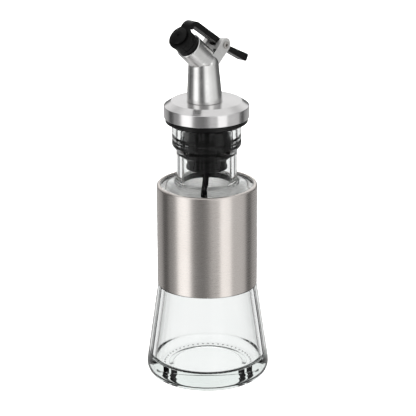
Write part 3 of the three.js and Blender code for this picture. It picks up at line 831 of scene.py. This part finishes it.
def tail_top(along):
    return tail_middle(along) + tail_half


def tail_bottom(along):
    return tail_middle(along) - between(along, tail_end, pivot_along, tail_half, tail_root_drop)


def strip(edge, start, end, depth):
    """A cutter's outline along an edge of the lever, as deep below the edge as above it."""
    return [
        (edge(start) - depth, start),
        (edge(start) + depth, start),
        (edge(end) + depth, end),
        (edge(end) - depth, end),
    ]


def lever():
    bend_back = ring_front - BEND_THICKNESS
    knee = pivot_along - hub_radius
    ring_top = PAD_RADIUS + 2 * FIT
    end_lean = tail_half * math.sin(tail_slope)
    end_across = tail_middle(tail_end)
    bar = plate([
        (0, ring_front),
        (0, ring_back),
        (ring_top, ring_back),
        (ring_top, bend_back),
        (arm_bottom(bend_back), bend_back, BEND_INNER_FILLET),
        (arm_bottom(pivot_along), pivot_along),
        (tail_bottom(knee), knee, TAIL_ROOT_FILLET),
        (end_across - tail_half, tail_end - end_lean, TAIL_FILLET),
        (end_across + tail_half, tail_end + end_lean, TAIL_FILLET),
        (tail_top(2 * knee), 2 * knee, TAIL_SWEEP),
        (arm_top(pivot_along), pivot_along),
        (arm_top(ring_front), ring_front, BEND_RADIUS),
    ], LEVER_WIDTH, FINE_STEPS, LEVER_BEVEL)
    ring = turned([
        (0, ring_back),
        (RING_RADIUS, ring_back, RING_FILLET),
        (RING_RADIUS, ring_front, RING_FILLET),
        (0, ring_front),
    ])
    joined(bar, ring, pivot_bar(hub_radius, LEVER_WIDTH - 2 * HUB_INSET))
    leg_end = pivot_along - REAR_LEG - 2 * FIT
    leg = strip(tail_bottom, leg_end, pivot_along, 2 * WIRE_RADIUS + FIT)
    rib_rear = pivot_along + 2 * ear_radius
    rib = strip(arm_bottom, rib_rear, ring_front - BEND_RADIUS, RIB_DEPTH)
    cut(
        bar,
        pivot_bar(pin_hole_radius, 2 * LEVER_WIDTH),
        pivot_bar(slot_radius, LEVER_WIDTH, slot_end - LEVER_WIDTH / 2),
        post(PAD_STEM + FIT, ring_back - FIT, ring_front + FIT),
        plate(leg, 2 * (WIRE_RADIUS + FIT), middle=coil_far),
        plate(rib, RIB_WIDTH, middle=-RIB_PLACE),
        plate(rib, RIB_WIDTH, middle=RIB_PLACE),
    )
    return placed(bar, outlet_frame)


def seal_pad():
    button_back = ring_front + FIT
    button_front = button_back + BUTTON_HEIGHT
    crown = button_front + BUTTON_DOME
    return turned([
        (0, pad_back),
        (PAD_RADIUS, pad_back, PAD_FILLET),
        (PAD_RADIUS, pad_front, PAD_FILLET),
        (PAD_STEM, pad_front),
        (PAD_STEM, button_back),
        (BUTTON_RADIUS, button_back, BUTTON_EDGE),
        (BUTTON_RADIUS, button_front, BUTTON_FILLET),
        (BUTTON_RADIUS / 2, crown, DOME_FILLET),
        (DIMPLE_RADIUS, crown, BUTTON_EDGE),
        (DIMPLE_RADIUS / 2, crown - DIMPLE_RADIUS, BUTTON_EDGE),
        (0, crown - DIMPLE_RADIUS),
    ], place=outlet_frame)


def hinge_pin():
    head_radius = PIN_RADIUS + PIN_HEAD_REACH
    seat = ear_inside + EAR_THICKNESS + FIT / 2
    end = seat + PIN_HEAD
    recess = end - RECESS_DEPTH
    return turned([
        (0, -recess),
        (RECESS_RADIUS, -recess),
        (RECESS_RADIUS, -end, RECESS_FILLET),
        (head_radius, -end, PIN_HEAD_FILLET),
        (head_radius, -seat, PIN_SEAT_FILLET),
        (PIN_RADIUS, -seat),
        (PIN_RADIUS, seat),
        (head_radius, seat, PIN_SEAT_FILLET),
        (head_radius, end, PIN_HEAD_FILLET),
        (RECESS_RADIUS, end, RECESS_FILLET),
        (RECESS_RADIUS, recess),
        (0, recess),
    ], THIN_ROUND, place=outlet_frame @ pivot_place)


def swept(points, radius, name):
    """A round wire along points, with closed ends."""
    data = bpy.data.curves.new(name, "CURVE")
    data.dimensions = "3D"
    data.bevel_depth = radius
    data.bevel_resolution = WIRE_ROUNDING
    data.use_fill_caps = True
    line = data.splines.new("POLY")
    line.points.add(len(points) - 1)
    for slot, point in zip(line.points, points):
        slot.co = (*point, 1)
    curve = bpy.data.objects.new(name, data)
    scene.collection.objects.link(curve)
    mesh = bmesh.new()
    mesh.from_mesh(evaluated(curve))
    bpy.data.objects.remove(curve)
    bmesh.ops.remove_doubles(mesh, verts=mesh.verts, dist=WELD)
    return as_object(mesh, name)


def torsion_spring():
    """One leg stands on the outlet, the wire goes round the pin, one leg is under the tail."""
    rear_end = pivot_along - REAR_LEG
    rear_slot = pivot_along - slot_radius
    outlet_edge = math.sqrt(ELBOW_RADIUS ** 2 - coil_near ** 2)
    foot = Vector((outlet_edge + WIRE_RADIUS + FIT - pivot_across, FRONT_LEG))
    start = math.atan2(foot.y, foot.x) + math.acos(coil_radius / foot.length)
    end = math.pi * (2 * COIL_TURNS + 1)
    points = [Vector((pivot_across + foot.x, coil_near, pivot_along + foot.y))]
    for step in range(COIL_STEPS + 1):
        turn = between(step, 0, COIL_STEPS, start, end)
        points.append(Vector((
            pivot_across + coil_radius * math.cos(turn),
            between(step, 0, COIL_STEPS, coil_near, coil_far),
            pivot_along + coil_radius * math.sin(turn),
        )))
    for along in (rear_slot, rear_end):
        points.append(Vector((tail_bottom(along) + WIRE_RADIUS, coil_far, along)))
    return swept([outlet_frame @ point for point in points], WIRE_RADIUS, "torsion_spring_fine")


def vent_tube():
    top = stem_bottom - FIT
    lean = Matrix.Translation((0, 0, top)) @ Matrix.Rotation(radians(VENT_LEAN), 4, "Y")
    return turned([
        (vent_bore, -VENT_LENGTH),
        (vent_radius, -VENT_LENGTH, VENT_EDGE),
        (vent_radius, 0, VENT_EDGE),
        (vent_bore, 0),
    ], THIN_ROUND, place=lean)


# Materials.
RAMP = (0.3, 0.7)
QUARTER_TURN = 0.25


def grey(level):
    return (level, level, level)


class Graph:
    """The nodes of a material or of the world, with helpers that add to them."""

    def __init__(self, tree):
        self.nodes = tree.nodes
        self.links = tree.links

    def fill(self, socket, value):
        """Sets a socket to a number or a colour, or links another socket to it."""
        if isinstance(value, bpy.types.NodeSocket):
            self.links.new(value, socket)
        elif isinstance(value, tuple):
            socket.default_value = (*value, 1)
        else:
            socket.default_value = value

    def math(self, operation, first, second=0.0):
        node = self.nodes.new("ShaderNodeMath")
        node.operation = operation
        self.fill(node.inputs[0], first)
        self.fill(node.inputs[1], second)
        return node.outputs[0]

    def ranged(self, value, start, end, low=0.0, high=1.0, course="LINEAR"):
        """Maps what lies from start to end onto the range from low to high."""
        node = self.nodes.new("ShaderNodeMapRange")
        node.interpolation_type = course
        node.inputs["From Min"].default_value = start
        node.inputs["From Max"].default_value = end
        node.inputs["To Min"].default_value = low
        node.inputs["To Max"].default_value = high
        self.links.new(value, node.inputs["Value"])
        return node.outputs[0]

    def mixed(self, factor, first, second):
        """Goes from a first to a second colour."""
        node = self.nodes.new("ShaderNodeMix")
        node.data_type = "RGBA"
        self.links.new(factor, node.inputs["Factor"])
        colours = [socket for socket in node.inputs if socket.type == "RGBA"]
        for socket, value in zip(colours, (first, second)):
            self.fill(socket, value)
        return [socket for socket in node.outputs if socket.type == "RGBA"][0]


class Surface(Graph):
    """A material with one Principled shader and helpers for its procedural detail."""

    def __init__(self, name, **inputs):
        self.material = bpy.data.materials.new(name)
        self.material.use_nodes = True
        super().__init__(self.material.node_tree)
        self.shader = self.nodes["Principled BSDF"]
        self.shade(**inputs)
        self.place = self.nodes.new("ShaderNodeTexCoord").outputs["Object"]

    def shade(self, **inputs):
        """Fills inputs of the shader; an underscore stands for a space in their names."""
        for key, value in inputs.items():
            self.fill(self.shader.inputs[key.replace("_", " ")], value)

    def source(self, name):
        """What is linked to an input of the shader."""
        return self.shader.inputs[name].links[0].from_socket

    def noise(self, scale, stretch=(1, 1, 1), detail=3.0, vector=None):
        mapping = self.nodes.new("ShaderNodeMapping")
        mapping.inputs["Scale"].default_value = stretch
        self.links.new(vector or self.place, mapping.inputs["Vector"])
        node = self.nodes.new("ShaderNodeTexNoise")
        node.inputs["Scale"].default_value = scale
        node.inputs["Detail"].default_value = detail
        self.links.new(mapping.outputs[0], node.inputs["Vector"])
        return node.outputs[0]

    def along(self, direction):
        """How far a point lies along a direction."""
        node = self.nodes.new("ShaderNodeVectorMath")
        node.operation = "DOT_PRODUCT"
        self.links.new(self.place, node.inputs[0])
        node.inputs[1].default_value = direction
        return node.outputs["Value"]

    def radius(self):
        x, y = self.along((1, 0, 0)), self.along((0, 1, 0))
        squares = self.math("ADD", self.math("MULTIPLY", x, x), self.math("MULTIPLY", y, y))
        return self.math("SQRT", squares)

    def turning(self):
        """Coordinates in which lathe marks run round Z on walls, cones and flat tops."""
        x, y, z = [self.along(axis) for axis in ((1, 0, 0), (0, 1, 0), (0, 0, 1))]
        made = self.nodes.new("ShaderNodeCombineXYZ")
        for socket, value in zip(made.inputs, (x, y, self.math("SUBTRACT", self.radius(), z))):
            self.links.new(value, socket)
        return made.outputs[0]

    def roughness(self, value, low, high):
        self.shade(Roughness=self.ranged(value, *RAMP, low, high))

    def colour(self, value, dark, light):
        node = self.nodes.new("ShaderNodeValToRGB")
        for stop, position, tone in zip(node.color_ramp.elements, RAMP, (dark, light)):
            stop.position = position
            stop.color = (*tone, 1)
        self.links.new(value, node.inputs[0])
        self.shade(Base_Color=node.outputs[0])

    def bump(self, value, height):
        node = self.nodes.new("ShaderNodeBump")
        node.inputs["Distance"].default_value = height * MM
        self.links.new(value, node.inputs["Height"])
        self.shade(Normal=node.outputs[0])

    def brushed_round(self, amount):
        """Stretches highlights across marks that run round the Z axis."""
        node = self.nodes.new("ShaderNodeTangent")
        node.direction_type = "RADIAL"
        node.axis = "Z"
        self.shade(
            Tangent=node.outputs[0], Anisotropic=amount, Anisotropic_Rotation=QUARTER_TURN,
        )


# Noise of the materials: features in a metre.
GLASS_CLOUD = 40
GLASS_WAVE = 60
STEEL_CLOUD = 55
STEEL_MARKS = (150, 150, 4200)
METAL_CLOUD = 90
METAL_GRAIN = 700
BLACK_CLOUD = 120
BLACK_GRAIN = 1500

# Glass.
GLASS_INDEX = 1.5
GLASS_SHEEN = grey(0.3)
GLASS_TINTS = ((0.975, 0.985, 0.982), (0.995, 1.0, 0.998))
GLASS_WAVE_HEIGHT = 0.02
GLASS_DEPTH_COLOUR = (0.68, 0.77, 0.73)
GLASS_DENSITY = 8


def clear_glass():
    made = Surface(
        "clear_glass", Roughness=0.0, IOR=GLASS_INDEX, Transmission_Weight=1.0,
        Specular_Tint=GLASS_SHEEN,
    )
    made.colour(made.noise(GLASS_CLOUD), *GLASS_TINTS)
    made.bump(made.noise(GLASS_WAVE, detail=1.0), GLASS_WAVE_HEIGHT)
    absorb = made.nodes.new("ShaderNodeVolumeAbsorption")
    made.fill(absorb.inputs["Color"], GLASS_DEPTH_COLOUR)
    made.fill(absorb.inputs["Density"], GLASS_DENSITY)
    made.links.new(absorb.outputs[0], made.nodes["Material Output"].inputs["Volume"])
    return made


# Metals. A roughness is given from low to high, and a grain's height in millimetres.
EDGE_BLUR = 0.0002
INSIDE_METAL = 0.2
# Pale colour inside the sleeve: painted light, standing in for the light that falls into the
# sleeve.
INSIDE_PAINTED_LIGHT = (0.90, 0.89, 0.88)
EAR_DULLNESS = 0.3


def turned_steel(name, dark, light, rough, grain, stretch):
    made = Surface(name, Metallic=1.0)
    marks = made.noise(1, STEEL_MARKS, 4.0, made.turning())
    cloud = made.noise(STEEL_CLOUD, detail=2.0)
    made.colour(made.math("MULTIPLY", made.math("ADD", marks, cloud), 0.5), dark, light)
    made.roughness(marks, *rough)
    made.bump(marks, grain)
    made.brushed_round(stretch)
    return made


def sleeve_steel():
    """Brushed outside. Inside the sleeve it is dull, and painted pale as painted light for the
    light that falls into the sleeve.
    """
    dark, light = (0.645, 0.60, 0.565), (0.695, 0.655, 0.625)
    made = turned_steel(
        "sleeve_steel", dark, light, rough=(0.24, 0.32), grain=0.0008, stretch=0.75,
    )
    face = (sleeve_radius - SLEEVE_SHEET / 2) * MM
    under_lip = (sleeve_high.z - 1.2 * SLEEVE_SHEET) * MM
    inward = made.ranged(made.radius(), face - EDGE_BLUR, face, 1, 0)
    below = made.ranged(made.along((0, 0, 1)), under_lip - EDGE_BLUR, under_lip, 1, 0)
    inside = made.math("MULTIPLY", inward, below)
    # Inside the sleeve the steel is made dull and painted pale: painted light for the light that
    # falls in there.
    made.shade(
        Metallic=made.ranged(inside, 0, 1, 1, INSIDE_METAL),
        Base_Color=made.mixed(inside, made.source("Base Color"), INSIDE_PAINTED_LIGHT),
    )
    return made


def cap_steel():
    dark, light = (0.67, 0.66, 0.66), (0.75, 0.74, 0.74)
    return turned_steel(
        "cap_steel", dark, light, rough=(0.16, 0.24), grain=0.001, stretch=0.6,
    )


def cast_metal(name, dark, light, rough, grain):
    made = Surface(name, Metallic=1.0)
    fine = made.noise(METAL_GRAIN, detail=4.0)
    made.colour(made.noise(METAL_CLOUD, detail=2.0), dark, light)
    made.roughness(fine, *rough)
    made.bump(fine, grain)
    return made


def spout_metal():
    """Polished on the spout, dull on the ears that stand out above the outlet."""
    dark, light = (0.73, 0.725, 0.715), (0.80, 0.80, 0.79)
    made = cast_metal("spout_metal", dark, light, rough=(0.18, 0.27), grain=0.002)
    up_and_back = outlet_frame.to_3x3() @ Vector((1, 0, 0))
    ear_start = (up_and_back.dot(outlet_frame.translation) + OUTLET_RADIUS + FIT) * MM
    dull = made.ranged(
        made.along(up_and_back), ear_start, ear_start + EDGE_BLUR, 0, EAR_DULLNESS,
    )
    made.shade(Roughness=made.math("ADD", made.source("Roughness"), dull))
    return made


def black(name, level, rough, grain, specular):
    """Moulded black rubber or plastic."""
    made = Surface(name, Specular_IOR_Level=specular)
    fine = made.noise(BLACK_GRAIN)
    made.colour(made.noise(BLACK_CLOUD, detail=2.0), grey(level), grey(2 * level))
    made.roughness(fine, *rough)
    made.bump(fine, grain)
    return made


GLASS = clear_glass()
SLEEVE_STEEL = sleeve_steel()
CAP_STEEL = cap_steel()
SPOUT_METAL = spout_metal()
PIN_STEEL = cast_metal(
    "pin_steel", (0.46, 0.45, 0.43), (0.58, 0.56, 0.54), rough=(0.26, 0.35), grain=0.003,
)
SPRING_STEEL = cast_metal(
    "spring_steel", grey(0.50), grey(0.62), rough=(0.24, 0.33), grain=0.002,
)
PIPE_STEEL = cast_metal(
    "pipe_steel", (0.56, 0.56, 0.55), (0.68, 0.68, 0.67), rough=(0.26, 0.35), grain=0.002,
)
BLACK_RUBBER = black("black_rubber", 0.002, rough=(0.15, 0.26), grain=0.003, specular=0.22)
PAD_RUBBER = black("pad_rubber", 0.0015, rough=(0.12, 0.23), grain=0.002, specular=0.12)
BLACK_PLASTIC = black("black_plastic", 0.002, rough=(0.17, 0.28), grain=0.003, specular=0.07)
LEVER_PLASTIC = black("lever_plastic", 0.0015, rough=(0.12, 0.23), grain=0.003, specular=0.10)
BUSH_PLASTIC = black("bush_plastic", 0.002, rough=(0.17, 0.28), grain=0.003, specular=0.09)
TUBE_PLASTIC = black("tube_plastic", 0.002, rough=(0.19, 0.30), grain=0.003, specular=0.08)

# Pieces.
bottle = piece(glass_bottle(), "glass_bottle", "bottle", GLASS, GLASS_CREASE)
bottle.visible_shadow = False
piece(steel_sleeve(), "steel_sleeve", "bottle", SLEEVE_STEEL)
piece(flange_gasket(), "flange_gasket", "stopper", BLACK_RUBBER)
piece(ribbed_seal(), "ribbed_seal", "stopper", BLACK_RUBBER)
piece(stopper_core(), "stopper_core", "pourer", BLACK_PLASTIC)
piece(flange_cap(), "flange_cap", "pourer", CAP_STEEL)
piece(spout_body(), "spout_body", "pourer", SPOUT_METAL)
piece(spout_bush(), "spout_bush", "pourer", BUSH_PLASTIC)
piece(vent_tube(), "vent_tube", "pourer", TUBE_PLASTIC)
piece(hinge_pin(), "hinge_pin", "pourer", PIN_STEEL)
piece(lever(), "lever", "thumb_lever", LEVER_PLASTIC)
piece(seal_pad(), "seal_pad", "thumb_lever", PAD_RUBBER)

spring = torsion_spring()
spring.data.transform(Matrix.Scale(MM, 4))
spring.data.shade_smooth()
dress(spring, SPRING_STEEL)
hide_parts("torsion_spring")
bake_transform(spring)

# The two pieces that stay hidden keep their CAD shape.
for hidden, surface, slot in (
    ("spout_o_ring", BLACK_RUBBER, "black_rubber"),
    ("breather_pipe", PIPE_STEEL, "pipe_steel"),
):
    node = bpy.data.objects[hidden]
    dress(node, surface)
    node.data.shade_smooth()
    node.data.set_sharp_from_angle(angle=radians(HIDDEN_CREASE))

# Studio: level of the light round the set, by degrees from the camera, to the right. One set of
# walls is low, one at the height of the object and one above it.
LOW_WALLS = (
    (-180, 0.36), (-150, 0.36), (-130, 0.30), (-115, 0.05), (-104, 0.10), (-96, 0.28),
    (-76, 0.30), (-69, 1.0), (-43, 1.0), (-35, 0.22), (0, 0.16), (27, 0.22),
    (34, 1.0), (54, 1.0), (61, 0.40), (96, 0.44), (104, 0.12), (114, 0.06), (130, 0.30),
    (150, 0.36), (180, 0.36),
)
MIDDLE_WALLS = (
    (-180, 0.10), (-140, 0.16), (-115, 0.08), (-84, 0.07), (-72, 0.75), (-50, 0.95),
    (-36, 0.45), (-26, 0.10), (-10, 0.07), (0, 0.28), (12, 0.95), (28, 0.85), (40, 0.58),
    (78, 0.52), (92, 0.36), (108, 0.12), (135, 0.05), (180, 0.10),
)
HIGH_WALLS = (
    (-180, 0.67), (-150, 0.63), (-120, 0.20), (-80, 0.20), (-69, 0.9), (-43, 0.9), (-30, 0.25),
    (0, 0.20), (24, 0.25), (34, 0.9), (54, 0.9), (70, 0.40), (96, 0.35), (120, 0.20),
    (150, 0.63), (180, 0.67),
)
SET_STRENGTH = 1.5
CEILING = 0.62

# How steeply a direction rises where the middle walls, the high walls and the ceiling take over.
MIDDLE_START = (-0.28, -0.2)
HIGH_START = (0.1, 0.25)
CEILING_START = (0.62, 0.86)


def make_studio():
    world = bpy.data.worlds.new("studio")
    scene.world = world
    world.use_nodes = True
    graph = Graph(world.node_tree)
    turn = graph.nodes.new("ShaderNodeVectorRotate")
    turn.rotation_type = "Z_AXIS"
    turn.inputs["Angle"].default_value = -radians(CAMERA_AZIMUTH)
    direction = graph.nodes.new("ShaderNodeTexCoord").outputs["Generated"]
    graph.links.new(direction, turn.inputs["Vector"])
    split = graph.nodes.new("ShaderNodeSeparateXYZ")
    graph.links.new(turn.outputs[0], split.inputs[0])
    right, away, up = split.outputs
    angle = graph.math("ARCTAN2", right, graph.math("MULTIPLY", away, -1))
    along = graph.ranged(angle, -math.pi, math.pi)

    def round_the_set(levels):
        node = graph.nodes.new("ShaderNodeValToRGB")
        node.color_ramp.interpolation = "EASE"
        stops = node.color_ramp.elements
        while len(stops) < len(levels):
            stops.new(0.5)
        for stop, (degrees, level) in zip(stops, levels):
            stop.position = 0.5 + degrees / 360
            stop.color = (*grey(level), 1)
        graph.links.new(along, node.inputs[0])
        return node.outputs[0]

    def rising(start, end):
        return graph.ranged(up, start, end, course="SMOOTHSTEP")

    low, middle, high = [round_the_set(x) for x in (LOW_WALLS, MIDDLE_WALLS, HIGH_WALLS)]
    walls = graph.mixed(rising(*HIGH_START), graph.mixed(rising(*MIDDLE_START), low, middle), high)
    background = graph.nodes["Background"]
    colour = graph.mixed(rising(*CEILING_START), walls, grey(CEILING))
    graph.links.new(colour, background.inputs["Color"])
    background.inputs["Strength"].default_value = SET_STRENGTH


FLOOR_REACH = 6
FLOOR_GLOW = 0.25
FLOOR_WHITE = 0.86
FLOOR_CLOUD = 2
FLOOR_SPREAD = 0.02
BACKDROP_LEVEL = 0.97
SURROUND_REACH = 5
WHITE_BELOW = 2.3
# Flags round the set, from and to these degrees from the camera, draw lines in the glass, and
# white panels fill the rest. Flags that start between the SIDE_FLAGS are grey, the others black.
FLAGS = (
    (-158, -152), (-150, -143), (-122, -113), (-110, -100), (-79, -68), (-64, -53), (-34, -23),
    (-19, -8), (10, 21), (25, 37), (56, 67), (71, 82), (100, 110), (113, 122), (143, 150),
    (152, 158),
)
SIDE_FLAGS = (5, 50)
SIDE_LEVEL = 0.6
FRONT_PANELS = 90
PANEL_LEVEL = 0.98
FRONT_LEVEL = 0.02
LIGHT_HEIGHT = 1.9
LIGHT_SIZE = 1.5
LIGHT_POWER = 22
FILL_LIGHTS = (-130, -50, 50, 130)
FILL_ELEVATION = 30
FILL_DISTANCE = 1
FILL_SIZE = 0.4
FILL_POWER = 6


def glowing(name, level):
    """A dark material that gives light, for the set."""
    return Surface(
        name, Roughness=0.9, Base_Color=grey(0), Specular_IOR_Level=0,
        Emission_Color=grey(1), Emission_Strength=level,
    )


def floor_paper():
    made = glowing("floor_paper", FLOOR_GLOW)
    made.colour(made.noise(FLOOR_CLOUD), grey(FLOOR_WHITE), grey(FLOOR_WHITE + FLOOR_SPREAD))
    return made


def front_white():
    """White where the glass is looked through, dark where it only reflects."""
    made = glowing("panel_front", PANEL_LEVEL)
    bounces = made.nodes.new("ShaderNodeLightPath").outputs["Glossy Depth"]
    made.shade(Emission_Strength=made.ranged(bounces, 0, 1, PANEL_LEVEL, FRONT_LEVEL))
    return made


def seen_by(made, camera=False, diffuse=False, transmission=False, shadow=False):
    made.visible_camera = camera
    made.visible_diffuse = diffuse
    made.visible_glossy = False
    made.visible_transmission = transmission
    made.visible_shadow = shadow


def hung(made, surface, **seen):
    """Gives a part of the set its material, and says which rays meet it."""
    made.data.materials.append(surface.material)
    seen_by(made, **seen)
    return made


def panels(name, spans, closed=False):
    """Upright panels round the set, with a white disc far below the floor if they are closed."""
    mesh = bmesh.new()
    if closed:
        below = Matrix.Translation((0, 0, -WHITE_BELOW))
        bmesh.ops.create_circle(
            mesh, cap_ends=True, radius=SURROUND_REACH, segments=ROUND, matrix=below,
        )
    for start, end in spans:
        previous = None
        for degrees in range(start, end + 1):
            foot = towards(CAMERA_AZIMUTH + degrees) * SURROUND_REACH
            heights = (-SURROUND_REACH, SURROUND_REACH)
            edge = [mesh.verts.new((foot.x, foot.y, z)) for z in heights]
            if previous:
                mesh.faces.new((previous[0], edge[0], edge[1], previous[1]))
            previous = edge
    return as_object(mesh, name)


def lamp(name, size, power, place):
    data = bpy.data.lights.new(name, "AREA")
    data.size = size
    data.energy = power
    made = bpy.data.objects.new(name, data)
    made.location = place
    scene.collection.objects.link(made)
    return made


def fill_lights():
    """Lamps that light only dull faces, such as the inside of the sleeve."""
    lamps = []
    for degrees in FILL_LIGHTS:
        back = towards(CAMERA_AZIMUTH + degrees, FILL_ELEVATION)
        made = lamp("fill", FILL_SIZE, FILL_POWER, CAMERA_TARGET + back * FILL_DISTANCE)
        made.rotation_euler = back.to_track_quat("Z", "Y").to_euler()
        seen_by(made, diffuse=True, shadow=True)
        lamps.append(made)
    return lamps


def make_set():
    floor_mesh = bmesh.new()
    bmesh.ops.create_circle(floor_mesh, cap_ends=True, radius=FLOOR_REACH, segments=ROUND)
    floor = as_object(floor_mesh, "floor")
    hung(floor, floor_paper(), camera=True, diffuse=True, shadow=True)
    wall_mesh = bmesh.new()
    bmesh.ops.create_cone(
        wall_mesh, radius1=FLOOR_REACH, radius2=FLOOR_REACH, depth=2 * FLOOR_REACH, segments=ROUND,
    )
    wall = hung(
        as_object(wall_mesh, "backdrop"), glowing("backdrop_pale", BACKDROP_LEVEL), camera=True,
    )
    grey_spans = [span for span in FLAGS if SIDE_FLAGS[0] < abs(span[0]) < SIDE_FLAGS[1]]
    black_spans = [span for span in FLAGS if span not in grey_spans]
    starts = [start for start, _ in FLAGS]
    ends = [end for _, end in FLAGS]
    spans = list(zip(ends, [*starts[1:], starts[0] + 360]))
    back_spans = [span for span in spans if abs(span[0]) > FRONT_PANELS]
    front_spans = [span for span in spans if abs(span[0]) <= FRONT_PANELS]
    flags = hung(panels("flags", black_spans), glowing("flag_black", 0), transmission=True)
    side_flags = panels("side_flags", grey_spans)
    hung(side_flags, glowing("flag_grey", SIDE_LEVEL), transmission=True)
    white = panels("back_panels", back_spans)
    hung(white, glowing("panel_white", PANEL_LEVEL), transmission=True)
    front = panels("front_panels", front_spans, closed=True)
    hung(front, front_white(), transmission=True)
    softbox = lamp("softbox", LIGHT_SIZE, LIGHT_POWER, (0, 0, LIGHT_HEIGHT))
    softbox.visible_glossy = False
    fill_lights()


make_studio()
make_set()
scene.view_settings.view_transform = "Standard"
